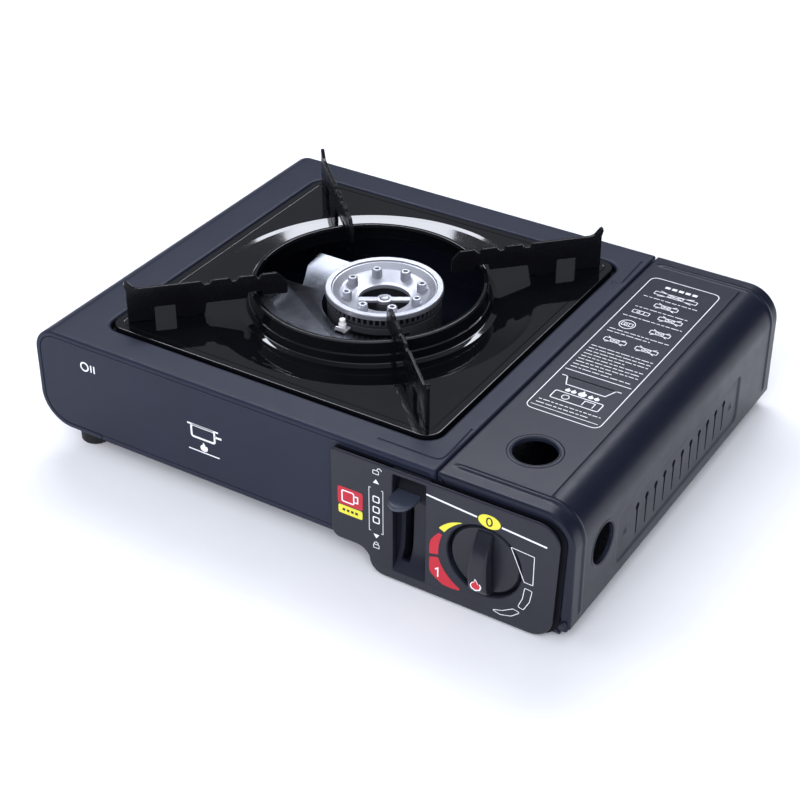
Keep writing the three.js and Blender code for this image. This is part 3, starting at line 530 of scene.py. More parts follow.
BEAD_YS = (-110.5, 126.0)  # the raised beads across the lid
CREASE_X = 150.4  # the pressed line where the lid's top begins to bend
FIELD = (-70.4, 84.5, 17.0, 48.0)  # the sunk field round the vents: its limits in Y, then in Z
RIVETS = ((-59.2, 31.0), (75.7, 30.5))  # in Y and Z, one at each end of the vents
VENT_COUNT, VENT_START, VENT_PITCH = 11, -46.3, 11.08


def lid_relief(p, y):
    """How far the lid's face stands out at a point of its path."""
    x, z, nx, nz = p
    lift = 0.0
    if x > 96.5:
        for bead in BEAD_YS:
            reach = soft_step(x, 98.5, 3.0) if nz > 0.99 else soft_step(z, 14.0, 4.0)
            lift += 0.75 * reach * bump(y - bead, 2.4)
    if nz > 0.9 and -108.0 < y < 123.5:
        lift -= 0.45 * bump(x - CREASE_X, 0.9)
    if nx > 0.99:
        y0, y1, z0, z1 = FIELD
        inside = min(y - y0, y1 - y, z - z0, z1 - z)
        corner = 4  # radius of the field's corners
        corner_y = max(y0 + corner - y, y - y1 + corner, 0.0)
        corner_z = max(z0 + corner - z, z - z1 + corner, 0.0)
        if corner_y > 0 and corner_z > 0:
            inside = corner - math.hypot(corner_y, corner_z)
        lift -= 0.8 * soft_step(inside, 0.0, 1.5)
        for rivet_y, rivet_z in RIVETS:
            lift += 0.8 * bump(math.hypot(y - rivet_y, z - rivet_z), 3.2)
    return lift


def steps_between(low, high, pitch):
    """Even steps from low to high, about a pitch apart."""
    count = max(1, round((high - low) / pitch))
    return [low + (high - low) * i / count for i in range(count + 1)]


def on_side(mesh, x=0.0):
    """A turned part is laid along X, on the centre of the lid's side hole."""
    mesh.transform(Matrix.Translation((x, *SIDE_HOLE)) @ Matrix.Rotation(math.pi / 2, 4, "Y"))
    return mesh


def make_lid():
    """The cartridge lid: its pressed sheet with holes, their rolled rims, and two hinge ears."""
    path = (straight((SEAM_LID, 70), (SEAM_LID, DECK - FOLD), (-1, 0), 2)
            + bend(SEAM_LID + FOLD, DECK - FOLD, FOLD, 180, 90, 4)[1:]
            + straight((94.5, DECK), (149.2, DECK), (0, 1), 37)
            + straight((149.5, DECK), (151, DECK), (0, 1), 6)
            + bend(151, 58, 19, 90, 0, 24)[1:]
            + straight((RIGHT, 57.2), (RIGHT, 10.2), (1, 0), 72)
            + bend(RIGHT - FOLD, 10.2, FOLD, 0, -80, 4)[1:])
    front, back = edge_rows(FRONT, 1, 1.3, 5.2), edge_rows(BACK, -1, 1.3, 5.2)
    inner = steps_between(FRONT + 2.0, BACK - 2.0, 1.0)
    for bead in BEAD_YS:
        inner += [bead + d for d in (-2.4, -1.8, -1.2, -0.6, 0.0, 0.6, 1.2, 1.8, 2.4)]
    rows = front + [(y, 0.0) for y in sorted(set(inner))] + back[::-1]
    sheet = thickened(wrap(path, rows, lid_inset, lid_relief), 1.0)
    top_cut = drill(12.2, 60, 90, *FINGER_HOLE, 64)
    side_cut = on_side(drill(11.4, -20, 20, 0, 0, 64), RIGHT)
    vents = []
    for i in range(VENT_COUNT):
        y = VENT_START + i * VENT_PITCH
        vent = [(y - 0.45, 21.2), (y + 0.65, 21.2), (y + 1.0, 36.6), *arc(y, 39.0, 2.1, -58, 238, 16),
                (y - 1.0, 36.6)]
        vents.append(sideways(plate([vent], 12, 0.01, 0), RIGHT - 8))
    sheet = carved(sheet, top_cut, side_cut, joined(*vents))
    rim = lathe([(15.2, 76.6), (14.9, 77.02), (14.4, 77.25), (13.6, 77.36), (12.8, 77.2), (12.1, 76.7),
                 (11.7, 75.9), (11.6, 75.0), (12.2, 75.0), (12.4, 75.8), (13.0, 76.3)], *FINGER_HOLE)
    side_rim = on_side(lathe([(13.4, 169.7), (13.1, 170.05), (12.6, 170.25), (12.0, 170.1), (11.5, 169.6),
                              (11.2, 168.8), (11.2, 168.0), (11.8, 168.0), (12.0, 168.8)]))
    ear = rounded(rect(162.6, 6.8, 168.8, 13.8), 2.4)
    ears = [facing(plate([ear], 1.2, 0.3), y) for y in (FRONT + 0.3, BACK - 1.5)]
    piece("lid_sheet", joined(sheet, rim, side_rim, *ears), LID_PAINT, "lid", ["cartridge_lid"])


def corner_angles():
    """Angles round the tray, closer together at its corners."""
    quarter = []
    for low, high, pitch in ((0, 40, 1.6), (40, 50, 0.35), (50, 90, 1.6)):
        quarter += steps_between(low, high, pitch)[:-1]
    return [math.radians(start + a) for start in (0.0, 90.0, 180.0, 270.0) for a in quarter]


ANGLES = corner_angles()


def square_loop(half, corner, z):
    """A rounded square about the tray's centre, met by rays at those angles."""
    loop = []
    for a in ANGLES:
        folded = a % (math.pi / 2)
        folded = min(folded, math.pi / 2 - folded)
        reach = half / math.cos(folded)
        if reach * math.sin(folded) > half - corner:
            ux, uy = math.cos(folded), math.sin(folded)
            dot = (ux + uy) * (half - corner)
            reach = dot + math.sqrt(max(dot * dot - 2 * (half - corner) ** 2 + corner ** 2, 0.0))
        loop.append((TRAY_X + reach * math.cos(a), TRAY_Y + reach * math.sin(a), z))
    return loop


def make_case():
    """The case's top and left side in one sheet, with the tray's well, two grooves and a stud's dimple."""
    path = (straight((SEAM_DECK, 70), (SEAM_DECK, DECK - FOLD), (1, 0), 2)
            + bend(SEAM_DECK - FOLD, DECK - FOLD, FOLD, 0, 90, 4)[1:]
            + straight((88.5, DECK), (-156, DECK), (0, 1), 24)
            + bend(-156, 63, 14, 90, 180, 18)[1:]
            + straight((LEFT, 62), (LEFT, 35.7), (-1, 0), 6)
            + bend(LEFT + 20, FLOOR_HIGH + 20, 20, 180, 270, 22)
            + straight((-149, FLOOR_HIGH), (-128, FLOOR_HIGH), (0, -1), 3))
    front, back = edge_rows(FRONT, 1, 1.2, 3.0), edge_rows(BACK, -1, 1.2, 3.0)
    rows = front + [(y, 0.0) for y in steps_between(FRONT + 3, BACK - 3, 8)] + back[::-1]
    sheet = thickened(wrap(path, rows, deck_inset), 1.0)
    well = loft([square_loop(WELL_HALF, WELL_HALF - WELL_ROUND, z) for z in (60, 90)], capped=True)
    grooves = [
        tube(smooth_path([(52, -111.2, 77.35), (70, -111.2, 77.25), (84, -111.2, 77.25),
                          (88.4, -109.5, 77.25), (89.6, -104, 77.25), (89.2, -92, 77.25),
                          (88.6, -79, 77.35)]), 0.8, 8),
        tube(smooth_path([(88.2, 95, 77.35), (88.0, 105, 77.25), (87.2, 124, 77.35)]), 0.8, 8),
        lathe([(0.01, 76.4), (0.8, 76.45), (1.6, 76.8), (1.9, 77.6), (0.01, 78.2)], 84.1, 93.1, 24),
    ]
    sheet = carved(sheet, well, joined(*grooves))
    recess = [(WELL_HALF, 77.0), (108.7, 76.93), (108.1, 76.7), (107.7, 76.3), (107.5, 75.7), (107.5, 72.6),
              (107.2, 71.9), (106.5, 71.5), (97.0, 71.5), (97.0, 70.3), (108.7, 70.3), (108.7, 75.6),
              (WELL_HALF, 76.0)]
    loops = [square_loop(h, max(h - WELL_ROUND, 1.0), z) for h, z in recess + [recess[0]]]
    piece("case_sheet", joined(sheet, loft(loops[:5])), PAINT, "case", ["body_shell"])
    # the well's deeper walls take the near-black paint: painted shade in the gap round the tray
    piece("case_recess", loft(loops[4:]), GAP_SHADE, "case")


# -------------------- enamelled tray and pan supports

def make_tray():
    """The tray: a square rim with a pressed groove, and a round dish that rises to a collar."""
    rim = [(TRAY_HALF, 71.9), (TRAY_HALF, 76.9), (105.45, 77.3), (105.3, 77.5), (105.1, 77.6), (104.9, 77.6),
           (101.3, 77.6), (101.15, 77.6), (101.05, 77.3), (100.85, 77.2), (100.65, 77.3), (100.55, 77.6),
           (100.4, 77.6), (99.4, 77.6)]
    loops = [square_loop(h, h - TRAY_ROUND, z) for h, z in rim]
    dish = rounded([(98.6, 77.6, 0), (98.2, 77.6, 0), (95.6, 77.5, 0.8), (92.6, 77.0, 0.8), (74.4, 74.4, 1.5),
                    (70.5, 75.0, 0.9), (69.8, 79.7, 0.3), (68.8, 79.75, 0.3), (68.0, 86.6, 0.5),
                    (67.0, 87.3, 0.5), (65.2, 87.2, 0.5), (64.4, 85.6, 0)], 1.0, 5)
    for r, z in dish:
        loops.append([(TRAY_X + r * math.cos(a), TRAY_Y + r * math.sin(a), z) for a in ANGLES])
    shell = thickened(loft(loops), 0.8, even=True)
    piece("tray_shell", shell, ENAMEL, "trivet", ["drip_tray"], smooth=40)


def arm_outline():
    """A pan support, drawn from the tray's centre outward: notches along its top, two feet and a tab."""
    top, foot = 98.7, 77.9

    def notch(centre, half):
        return [(centre + half, top, 0.8), (centre + half - 1.9, top - 2.2, 0.8),
                (centre - half + 1.9, top - 2.2, 0.8), (centre - half, top, 0.8)]

    points = [(138, foot, 0.6), (138, 98.2, 1.0), (139, 101.6, 1.0), (138.3, 104.0, 0.9), (136.8, 103.4, 0.8),
              (133.6, 99.5, 1.5), (130.7, top, 1.5), *notch(93.1, 3.6), *notch(77.6, 3.2), *notch(63.9, 2.4),
              (53.3, top, 1.6), (49.3, 94.9, 1.2), (47.7, 92.4, 1.2), (47.7, 85.0, 0.9), (62.2, 85.3, 0.6),
              (62.2, 88.4, 0.8), (69.8, 88.4, 0.8), (70.8, 84.6, 0.8), (94, 84.6, 1.2), (95, foot, 0.6),
              (99, foot, 0.2), (99, 75.2, 0.3), (107, 75.2, 0.3), (107, foot, 0.2),
              (111.3, foot, 0.3), (111.3, 85.9, 0.8), (123, 85.9, 0.8), (123, foot, 0.3)]
    return rounded(points, 0.8, 4)


def make_arms():
    """The four pan supports, one at each corner of the tray."""
    for i in range(4):
        arm = facing(plate([arm_outline()], 2.2, 0.45, 3), -1.1)
        turned = moved(arm, (TRAY_X, TRAY_Y, 0), 45 + 90 * i)
        piece(f"arm_{i + 1}", turned, ARM_ENAMEL, "trivet", [f"pan_support_{i + 1}"])


# -------------------- burner

def make_burner():
    """The burner's cast cup: eight hollow posts, a spoke and a hub inside it, and the centre screw."""
    cup = rounded([(34, 81.0, 0.2), (34, 83.5, 0.3), (33.5, 84.0, 0.3), (30.4, 83.9, 0.25), (30.1, 83.0, 0.2),
                   (29.4, 82.8, 0.3), (25.8, 80.2, 3.0), (16.8, 76.5, 1.0), (14.8, 75.9, 0.4),
                   (14.8, 73.6, 0.2), (25.5, 75, 1), (29.2, 79, 0.5), (30, 81.0, 0.2)], 0.5, 4)
    parts = [lathe(cup, segments=128)]
    post = rounded([(0.01, 75.6, 0), (3.5, 75.6, 0), (3.05, 78.0, 0.5), (2.9, 82.6, 0.3),
                    (2.4, 83.2, 0.4), (1.3, 83.2, 0.1), (1.3, 78.6, 0.1), (0.01, 78.4, 0)], 0.3, 3)
    for x, y in arc(0, 0, 22, -1.5, 313.5, 7):
        parts.append(lathe(post, x, y, 24, closed=False))
    spoke = plate([rounded(rect(-16, -2.2, 16, 2.2), 0.3)], 1.9, 0.5)
    parts.append(moved(spoke, (0, 0, 73.7), 32))
    hub = rounded([(1.9, 73.6, 0), (4.6, 73.6, 0.3), (4.6, 75.9, 0.6), (1.9, 76.0, 0.3)], 0.3, 3)
    parts.append(lathe(hub, segments=32))
    head = moved(joined(*parts), (BURNER_X, BURNER_Y, 0))
    piece("burner_cup", head, CAST, "case", ["burner_head"])
    profile = rounded([(0.01, 62, 0), (1.7, 62, 0.1), (1.7, 75.2, 0.1), (3.0, 75.4, 0.2), (3.0, 76.3, 0.4),
                       (1.8, 76.9, 0.6), (0.01, 77.0, 0)], 0.3, 3)
    slot = moved(plate([rect(-2.6, -0.4, 2.6, 0.4)], 1.0, 0.02), (0, 0, 76.4))
    screw = carved(lathe(profile, segments=32, closed=False), slot)
    piece("centre_screw", moved(screw, (BURNER_X, BURNER_Y, 0), 60), STEEL, "case", ["burner_screw"])


def make_port_ring():
    """The dark ring under the cup: short teeth with gas slots between them, above a plain drum, and a
    near-black band behind the slots that paints shade into them.
    """
    teeth, steps, loops = 60, 6, []
    levels = [(31.4, 0.0, 75.1), (31.4, 0.0, 76.6), (31.6, 0.0, 76.8), (33.2, 0.0, 76.9), (33.4, 2.9, 77.1),
              (33.4, 2.9, 80.7), (33.2, 0.0, 80.9), (30.2, 0.0, 80.9), (29.8, 0.0, 79.0), (29.8, 0.0, 75.1),
              (31.4, 0.0, 75.1)]
    for radius, depth, z in levels:
        loop = []
        for i, (u, v) in enumerate(circle(teeth * steps)):
            r = radius - (depth if i % steps < 3 else 0.0)
            loop.append((BURNER_X + r * u, BURNER_Y + r * v, z))
        loops.append(loop)
    piece("port_ring", loft(loops), PORT_BLACK, "case", ["burner_port_ring"], smooth=35)
    # a near-black band behind the teeth so the slots look dark: painted shade
    slot_shade = lathe([(30.8, 77.2), (32.4, 77.2), (32.4, 80.6), (30.8, 80.6)], BURNER_X, BURNER_Y)
    piece("port_slot_shade", slot_shade, SLOT_SHADE, "case", smooth=35)


def make_shield():
    """The polished plate under the burner, with a fin that rises behind it and a leg to the floor."""
    left, right, front, back, top = -86.0, 9.0, -60.5, 2.0, 73.0
    fin_left, around = -71.7, 36.0
    flat = rounded([(left, front), (right, front), (right, BURNER_Y), (BURNER_X, BURNER_Y),
                    (fin_left, back), (left, back)], 0.6)
    sheet = carved(moved(plate([flat], 0.8, 0.15), (0, 0, top - 0.8)),
                   drill(around, 60, 90, BURNER_X, BURNER_Y, 96), drill(2.6, 60, 90, *SPARK, 24))
    rows, length, rise = [], 32.0, 3.4
    for i in range(17):
        share = i / 16
        y = back - 0.3 + length * share
        x0 = max(fin_left - 9.3 * min(share / 0.6, 1.0), left)
        across = around ** 2 - (y - BURNER_Y) ** 2
        x1 = BURNER_X - math.sqrt(across) if across > 0 else BURNER_X
        rows.append([(x0 + (x1 - x0) * k / 10, y, top + rise * share * share) for k in range(11)])
    fin = thickened(loft(rows, closed=False), 0.8)
    floor = FLOOR_HIGH + 1.5
    leg = [(left, top - 0.4), (left, floor + 1.2), (left - 9, floor + 1.2), (left - 9, floor),
           (left + 1.2, floor), (left + 1.2, top - 0.4)]
    support = facing(plate([leg], 20, 0.2), -22.5)
    piece("shield_plate", joined(sheet, fin, support), POLISHED, "case", ["heat_shield"],
          smooth=28)


def make_electrode():
    """The white spark electrode and the folded clip that holds it."""
    rod = rounded([(0.01, 62, 0), (1.4, 62, 0.2), (1.4, 66, 0.2), (2.3, 66.8, 0.3), (2.3, 77.2, 0.4),
                   (1.8, 78.0, 0.3), (1.8, 80.2, 0.5), (0.8, 80.6, 0.2), (0.6, 79.8, 0.1),
                   (0.01, 79.8, 0)], 0.3, 3)
    piece("electrode_rod", moved(lathe(rod, segments=32, closed=False), (*SPARK, 0)), CERAMIC, "case",
          ["spark_electrode"], smooth=50)
    clip = plate([rounded(rect(-3.5, -3.4, 3.5, 3.4), 0.8), arc(0, 0, 2.5, 0, 345, 23)], 1.0, 0.25)
    lip = facing(plate([rounded([(-3.5, 0), (3.5, 0), (2.7, 3.0), (-2.7, 3.0)], 0.6)], 0.9, 0.25), -3.4)
    piece("electrode_clip", moved(joined(clip, lip), (*SPARK, 73.3)), CLIP_STEEL, "case",
          ["electrode_bracket"])


# -------------------- knob and lever

def make_knob():
    """The knob: a disc with a ridge across it. The ridge's profile is in Z and Y."""
    disc = rounded([(0.01, -123.2, 0), (18.9, -123.2, 0.6), (20.1, -121.8, 0.7), (20.1, -118.1, 0.2),
                    (0.01, -118.1, 0)], 0.3, 4)
    body = about_knob(disc)
    profile = [(18.2, -123.4), (16.6, -125.4), (14.8, -127.2), (11.5, -129.4), (8.0, -131.0), (4.0, -132.0),
               (0, -132.4), (-4.0, -132.5), (-9.0, -132.3), (-14.0, -131.5), (-16.6, -129.8),
               (-18.0, -127.0), (-18.6, -123.4)]
    loops = []
    for z, front in profile:
        half = 5.4 - 0.9 * soft_step(z, 6, 18)
        round_over = min(1.8, (-122.0 - front) * 0.6)
        loop = [(KNOB_X - half - 0.5, -121.5, KNOB_Z + z)]
        for u, v in arc(0, 0, 1, 0, 90, 6):
            loop.append((KNOB_X - half + round_over * (1 - u), front + round_over * (1 - v), KNOB_Z + z))
        loop += [(2 * KNOB_X - x, y, zz) for x, y, zz in loop[::-1]]
        loops.append(loop)
    ridge = evaluated(loft(loops, capped=True), "SUBSURF", levels=2, render_levels=2)
    piece("knob_body", joined(body, ridge), KNOB_BLACK, "knob", ["control_knob"], smooth=50)


def make_lever():
    """The cartridge lever: a head on a prong about its pivot, and the thumb tab in the panel."""
    def sector(r0, r1, low, high):
        return rounded(arc(LEVER_Y, LEVER_Z, r1, 180 - low, 180 - high, 12)
                       + arc(LEVER_Y, LEVER_Z, r0, 180 - high, 180 - low, 12), 0.3, 3)

    head = sideways(plate([sector(43.0, 47.0, 20, 40)], 18.3, 0.6, 3), 69.5)
    prong = sideways(plate([sector(5, 43.2, 23, 37)], 4.1, 0.2), 72.0)
    hub = sideways(plate([arc(LEVER_Y, LEVER_Z, 6.4, 0, 350, 35), arc(LEVER_Y, LEVER_Z, 3.3, 0, 345, 23)],
                         13, 0.3), 70.5)
    piece("lever_head", joined(head, prong, hub), LEVER_BLACK, "lever", ["lock_lever"])
    tip = [(76.4 + 7 * u, -126 - 9.5 * v) for u, v in arc(0, 0, 1, 0, 180, 20)]
    tab = [(69.4, -117), (83.4, -117), *tip]
    piece("lever_tab", moved(plate([tab], 2.8, 0.9, 4), (0, 0, 55.6)), THUMB_GREY, "lever")


# -------------------- control panel

SCOOP_LEFT, SCOOP_RIGHT, SCOOP_TOP = 69.0, 88.3, 69.0
# the floor of the lever's scoop, as its depth behind the panel's face against Z
SCOOP = [(0.0, 8.0), (1.2, 9.0), (4.0, 12.0), (6.5, 16.0), (7.9, 20.0), (8.4, 26.0), (8.8, 33.0), (9.0, 44.0),
         (9.0, 50.0), (12.5, 60.0), (16.0, 66.0), (18.5, SCOOP_TOP)]


def panel_outline(trim=0.0):
    """The panel's outline, with its right edge set back by the trim."""
    return [*arc(34.5, 69, 3, 90, 180, 6), *arc(36.5, 20.5, 5, 180, 270, 8), *arc(47, 7.5, 8, 90, 22, 10),
            *arc(63.5, 10.5, 9, 200, 270, 10), *arc(151.4 - trim, 14.5, 13, 270, 360, 16),
            (166.2 - trim, 60), *arc(154.2 - trim, 60, 12, 0, 90, 16)]


def make_panel():
    """The control panel, with the knob's cup and the lever's scoop sunk into it."""
    opening = rounded(rect(SCOOP_LEFT, 8, SCOOP_RIGHT, SCOOP_TOP), 0.8)
    outlines = [panel_outline(2.4), arc(KNOB_X, KNOB_Z, 21.5, 0, 355, 71), opening]
    face = facing(plate(outlines, 1.8, 0.8, 3), PANEL_FACE)
    body = facing(plate(outlines, 2.2, 0.05, 0, inset=2.6), PANEL_FACE + 1.2)
    back = [panel_outline(), arc(KNOB_X, KNOB_Z, 22.5, 0, 355, 71), opening]
    # a near-black sheet behind the panel's face, seen through the gap at its edge: painted shade
    piece("panel_shade_back", facing(plate(back, 0.9, 0.1), PANEL_FACE + 3.2), GAP_SHADE, "case")
    cup = about_knob([(21.3, -123.8), (21.5, -118.9), (20.7, -117.8), (19.9, -117.7), (4.0, -117.7),
                      (4.0, -116.5), (23.0, -116.5), (23.0, -123.8)])
    inner = [(PANEL_FACE + depth, z) for depth, z in SCOOP]
    outer = [(y + 1.4, z - 0.6) for y, z in inner[1:]]
    floor = sideways(plate([inner + outer[::-1]], SCOOP_RIGHT - SCOOP_LEFT, 0.02, 0), SCOOP_LEFT)
    slot = rounded(rect(71.5, 12.5, 76.6, 66), 0.8)
    floor = carved(floor, facing(plate([slot], 40, 0.01, 0), -125.5))
    wall, cheek = 1.2, rect(PANEL_FACE + 0.9, 7.2, PANEL_FACE + 18.5, 70)
    cheeks = [sideways(plate([cheek], wall, 0.02, 0), x) for x in (SCOOP_LEFT - wall, SCOOP_RIGHT)]
    roof = rect(SCOOP_LEFT - wall, SCOOP_TOP, SCOOP_RIGHT + wall, SCOOP_TOP + wall)
    roof = facing(plate([roof], 17.5, 0.02, 0), PANEL_FACE + 1.0)
    piece("panel_face", joined(face, body, cup, floor, *cheeks, roof), PANEL_BLACK, "case", ["control_panel"])


def printed(name, material, meshes, y=PANEL_FACE, body="case"):
    """One piece from all the prints of a colour that lie on the same face."""
    piece(name, joined(*(facing(mesh, y - 0.07) for mesh in meshes)), material, body)


def fill(points):
    """A print that fills an outline."""
    return plate([points], INK, 0.01, 0)


def framed(x0, y0, x1, y1, radius, width):
    """The outline of a box with round corners."""
    return ribbon(rounded(rect(x0, y0, x1, y1), radius, guard=0.05), width, True)


def ring_segment(low, high, inner, outer, round_off=0.8):
    """Part of a ring about the knob. Each radius is a list, followed from the low angle to the high."""
    steps = 12

    def radius(values, share):
        at = share * (len(values) - 1)
        i = min(int(at), len(values) - 2)
        return values[i] + (values[i + 1] - values[i]) * (at - i)

    def edge(values):
        points = []
        for k, (u, v) in enumerate(arc(0, 0, 1, low, high, steps)):
            r = radius(values, k / steps)
            points.append((KNOB_X + r * u, KNOB_Z + r * v))
        return points

    return rounded(edge(outer) + edge(inner)[::-1], round_off, 3, guard=0.05)


def flame(cx, cz, size):
    """A flame's outline, about as tall as its size."""
    shape = [(0, -0.5), (0.36, -0.36), (0.45, -0.05), (0.30, 0.2), (0.22, 0.05), (0.10, 0.32), (-0.08, 0.55),
             (-0.10, 0.25), (-0.30, 0.12), (-0.42, -0.1), (-0.34, -0.36)]
    return rounded([(cx + u * size, cz + v * size) for u, v in shape], 0.16 * size, 3, guard=0.05)


def print_panel():
    """The control panel's marks: scales round the knob, arrows and locks beside the lever, a badge."""
    over = PANEL_FACE - 0.06  # prints that lie on other prints
    off_x, off_z = 125, 61.8  # the zero in its oval, above the knob
    oval = [(off_x + 6.3 * u, off_z + 4.1 * v) for u, v in circle(40)]
    zero = [(off_x + 1.5 * u, off_z + 2.4 * v) for u, v in circle(28)]
    red = [fill(rounded(rect(35.7, 38.6, 51.0, 49.7), 1.6)),
           fill(ring_segment(164, 194, [25.0, 25.8, 27.0], [27.0, 31.0, 32.4])),
           fill(ring_segment(197.5, 241, [27.6, 27.4, 27.0], [32.8, 36.6, 34.2, 28.2]))]
    yellow = [fill(oval), fill(rounded(rect(36.0, 32.6, 50.8, 38.0), 1.2)),
              fill(ring_segment(125, 158, [22.7, 23.4, 24.6], [23.0, 25.8, 28.2], 0.3))]
    white = [ribbon([(89.0, 64.5), (118.0, 62.2)], 1.0), ribbon([(132.0, 61.1), (157.0, 59.1)], 1.0)]
    for shape, radius, width in (
            ([(137.5, 51.4), (150.5, 50.5), (150.4, 32.7), (145.6, 32.8)], 0.3, 0.36),
            ([(146.0, 29.2), (150.2, 28.8), (149.0, 21.5), (145.7, 15.1), (142.6, 15.9), (145.0, 22.0)],
             0.8, 0.34),
            ([(127.6, 7.6), (134.0, 9.4), (140.0, 13.2), (144.2, 12.4), (139.0, 8.0), (133.0, 6.4)],
             0.9, 0.34)):
        white.append(ribbon(rounded(shape, radius, guard=0.05), width, True))
    white += [
        ribbon([(56.0, 28.5), (54.9, 28.5), (54.9, 56.0), (56.0, 56.0)], 0.3),
        ribbon([(62.2, 28.5), (63.3, 28.5), (63.3, 56.0), (62.2, 56.0)], 0.3),
        fill([(57.4, 59.6), (61.0, 59.6), (59.2, 62.2)]), fill([(57.4, 27.0), (61.0, 27.0), (59.2, 24.4)]),
        framed(57.4, 65.4, 60.8, 67.6, 0.4, 0.35),
        ribbon([(60.0, 67.6), (60.0, 68.8), (61.2, 69.5), (62.4, 68.8), (62.4, 68.0)], 0.35),
        framed(57.4, 18.0, 60.8, 20.2, 0.4, 0.35),
        ribbon([(58.0, 20.2), (58.0, 21.4), (59.1, 22.0), (60.2, 21.4), (60.2, 20.2)], 0.35),
    ]
    white += [framed(57.4, z, 61.0, z + 3.6, 0.7, 0.65) for z in (34.4, 41.0, 47.6)]
    one = ribbon([(94.6, 19.4), (96.2, 20.6), (96.2, 15.0)], 0.75)
    canister = [framed(38.4, 40.6, 45.6, 47.6, 1.0, 0.75),
                ribbon([(45.6, 42.2), (48.0, 42.2), (48.0, 46.0), (45.6, 46.0)], 0.75)]
    bars = [ribbon([(x, 35.3), (x + 1.6, 35.3)], 1.5) for x in (38.6, 41.2, 43.8, 46.4)]
    printed("red_prints", RED_INK, red)
    printed("yellow_prints", YELLOW_INK, yellow)
    printed("white_prints", WHITE_INK, white)
    printed("white_marks", WHITE_INK, [one, *canister], over)
    printed("black_prints", BLACK_INK, [ribbon(zero, 0.8, True), *bars], over)
    crest = -132.36  # the face of the knob's ridge, behind its flame
    for name, ink, size, y in (("knob_flame_edge", WHITE_INK, 7.6, crest),
                               ("knob_flame", RED_INK, 6.0, crest - 0.06)):
        printed(name, ink, [fill(flame(KNOB_X, KNOB_Z - 9.5, size))], y, "knob")


def print_front():
    """A pot over a flame, and a ring with two bars, on the front sheet."""
    pot = [framed(-62.0, 42.0, -46.5, 49.5, 1.4, 1.2), ribbon([(-64.6, 49.9), (-43.9, 49.9)], 1.0),
           ribbon([(-46.5, 46.4), (-41.8, 46.4)], 1.3), fill(flame(-54.2, 36.9, 6.0)),
           ribbon([(-64.6, 33.2), (-43.9, 33.2)], 0.7)]
    ring = ribbon(arc(-135.0, 61.3, 2.6, 0, 350, 35), 0.9, True)
    bars = [ribbon([(x, 59.0), (x, 63.6)], 0.9) for x in (-130.4, -128.2)]
    printed("front_mark", WHITE_INK, pot, FRONT_PRINT)
    printed("side_mark", WHITE_INK, [ring, *bars], FRONT_PRINT)


def print_label():
    """The lid's instruction label: a frame, rows of plain bars and simple diagrams, with no words."""
    pick = random.Random(7)
    marks = []

    def draw(points, width, closed=False):
        marks.append(ribbon(points, width, closed))

    def row(y, x0=104.0, x1=140.0):
        x = x0
        while x < x1 - 1.0:
            end = min(x + pick.uniform(1.4, 5.2), x1)
            draw([(x, y), (end, y)], 0.5)
            x = end + 0.8

    def stove(x, y, size, crossed=True):
        marks.append(framed(x - size, y - 1.6, x + size, y + 1.6, 0.5, 0.45))
        draw(arc(x - size * 0.3, y, 0.9, 0, 340, 16), 0.4, True)
        draw([(x + size * 0.35, y - 1.3), (x + size * 0.35, y + 1.3)], 0.4)
        if crossed:
            draw([(x - size * 0.8, y - 3.0), (x + size * 0.8, y + 3.0)], 0.5)
            draw([(x - size * 0.8, y + 3.0), (x + size * 0.8, y - 3.0)], 0.5)

    draw(rounded(rect(100.6, -45.6, 143.4, 111.6), 5.0, 6), 0.5, True)
    for x in (112.0, 116.2, 120.4, 124.6, 128.8):
        draw([(x, 104.0), (x + 3.0, 104.0)], 2.2)
    stove(122.0, 96.0, 13.0)
    row(89.5, 105, 139)
    stove(122.0, 83.0, 7.0)
    row(76.5, 106, 138)
    stove(112.0, 71.0, 5.0, False)
    stove(130.0, 71.0, 7.0)
    row(64.5)
    draw(arc(111.0, 55.5, 4.6, 0, 350, 35), 0.5, True)
    stove(111.0, 55.5, 3.2, False)
    stove(131.0, 55.5, 6.0)
    row(47.5)
    row(44.5, 104, 130)
    stove(113.0, 36.0, 6.5)
    stove(132.0, 36.0, 6.5)
    for i in range(9):
        row(26.0 - i * 3.1, 103.6, 140.6 if i % 4 != 3 else 128)
    draw([(102.5, -2.6), (141.5, -2.6)], 0.5)
    draw([(107, -9), (136, -9), (133, -16.5), (110, -16.5)], 0.6, True)
    draw([(104, -9), (139, -9)], 0.6)
    marks.append(framed(108, -31.5, 136, -24, 1.2, 0.6))
    marks.append(fill(flame(122, -20.4, 5.6)))
    for x in (113.5, 117.0, 127.0, 130.5):
        marks.append(fill(flame(x, -20.8, 3.6)))
    draw(arc(115.5, -27.8, 2.0, 0, 340, 20), 0.5, True)
    draw([(126, -30), (126, -25.6), (132, -25.6), (132, -30)], 0.5)
    row(-35.6)
    row(-38.8, 104, 134)
    draw([(102.5, -41.8), (141.5, -41.8)], 0.35)
    piece("lid_label", moved(joined(*marks), (0, 0, DECK - 0.02)), WHITE_INK, "lid")


make_case()
make_lid()
make_tray()
make_arms()
make_burner()
make_port_ring()
make_shield()
make_electrode()
make_knob()
make_lever()
make_panel()
print_panel()
print_front()
print_label()

for material, bevel, names in (
        (PAINT, 0.2, "front_plate back_plate base_pan"),
        (DARK_STEEL, 0.15, "hinge_pin_front hinge_pin_back"),
        (STEEL, 0.15, "bay_divider burner_bracket gas_jet mixing_tube regulator_body cartridge_guide "
                      "cartridge_saddle lever_shaft lever_bracket cartridge_pusher igniter_plunger"),
        (PORT_BLACK, 0.3, "burner_base"), (DARK_STEEL, 0, "gas_pipe"), (BRASS, 0.1, "valve_shaft"),
        (BRASS, 0.2, "regulator_socket"), (LEAD, 0, "ignition_lead"), (PANEL_BLACK, 0.3, "piezo_igniter")):
    for name in names.split():
        dress(name, material, bevel)
for corner in ("left_front", "left_back", "right_front", "right_back"):
    dress(f"foot_{corner}", RUBBER, 0.4)
    dress(f"foot_screw_{corner}", STEEL, 0.15)


# -------------------- floor and light

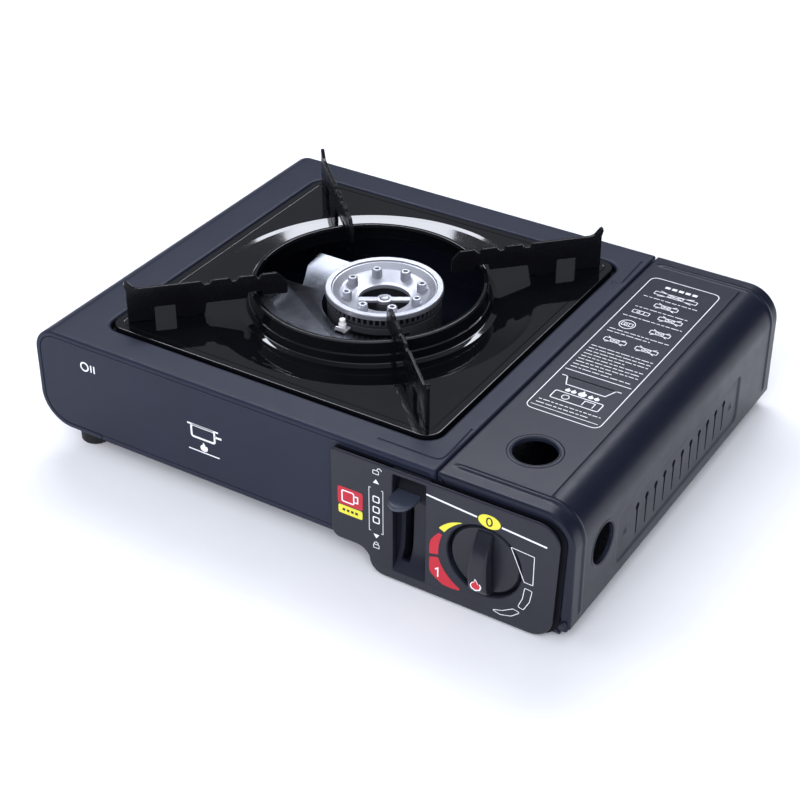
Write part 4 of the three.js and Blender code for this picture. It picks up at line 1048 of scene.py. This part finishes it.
def make_stage():
    """A plain pale floor."""
    bpy.ops.mesh.primitive_plane_add(size=20)
    floor = bpy.context.object
    floor.name = "floor"
    floor.data.materials.append(finish("floor_white", (0.94, 0.94, 0.94), 0.8, grain=(3, 0.01), tint=0.01))


def area_light(name, place, target, size, power, color, mirrored=True):
    """A rectangular light. One that isn't mirrored lights the object without showing in its gloss."""
    data = bpy.data.lights.new(name, "AREA")
    data.shape = "RECTANGLE"
    data.size, data.size_y = size
    data.energy = power
    data.color = color
    light = bpy.data.objects.new(name, data)
    light.location = place
    light.rotation_mode = "QUATERNION"
    light.rotation_quaternion = (Vector(place) - Vector(target)).to_track_quat("Z", "Y")
    light.visible_glossy = mirrored
    scene.collection.objects.link(light)


def make_lights():
    """A softbox behind the object, mirrored in its gloss, two more that aren't, and a graded studio."""
    away, height = 1.234, 1.522
    behind = (-math.sin(AZIMUTH) * away, math.cos(AZIMUTH) * away, height)
    tone = (0.94, 0.97, 1.06)
    area_light("softbox_behind", behind, (0, 0, DECK * MM), (1.7, 0.636), 24, tone)
    area_light("softbox_front", (1.0, -2.3, 1.7), (0, 0, 0), (2.8, 2.4), 98, tone, mirrored=False)
    area_light("softbox_left", (-1.9, -0.7, 1.4), (0, 0, 0), (2.0, 2.0), 16, tone, mirrored=False)
    scene.world = bpy.data.worlds.new("studio")
    n = Nodes(scene.world)
    split = n.add("ShaderNodeSeparateXYZ")
    n.link(n.place["Generated"], split.inputs[0])
    left = [(0.0, 0.02), (0.38, 0.08), (0.46, 0.16), (0.62, 0.20), (1.0, 0.48)]
    right = [(0.0, 0.02), (0.58, 0.03), (0.74, 0.30), (0.82, 0.66), (1.0, 0.76)]
    shades = []
    for marks in (left, right):
        ramp = n.add("ShaderNodeValToRGB")
        stops = ramp.color_ramp.elements
        stops[0].position, stops[1].position = marks[0][0], marks[-1][0]
        for mark in marks[1:-1]:
            stops.new(mark[0])
        for stop, (_, level) in zip(stops, marks):
            stop.color = (level * 0.92, level * 0.97, level * 1.10, 1)
        n.link(split.outputs["Z"], ramp.inputs[0])
        shades.append(ramp.outputs[0])
    shade = n.mixed(n.ranged(split.outputs["X"], 0.0, 1.0, -0.3, 0.1), *shades)
    background = n.tree.nodes["Background"].inputs
    n.link(shade, background["Color"])
    background["Strength"].default_value = 1.0


make_stage()
make_lights()
scene.view_settings.view_transform = "Standard"
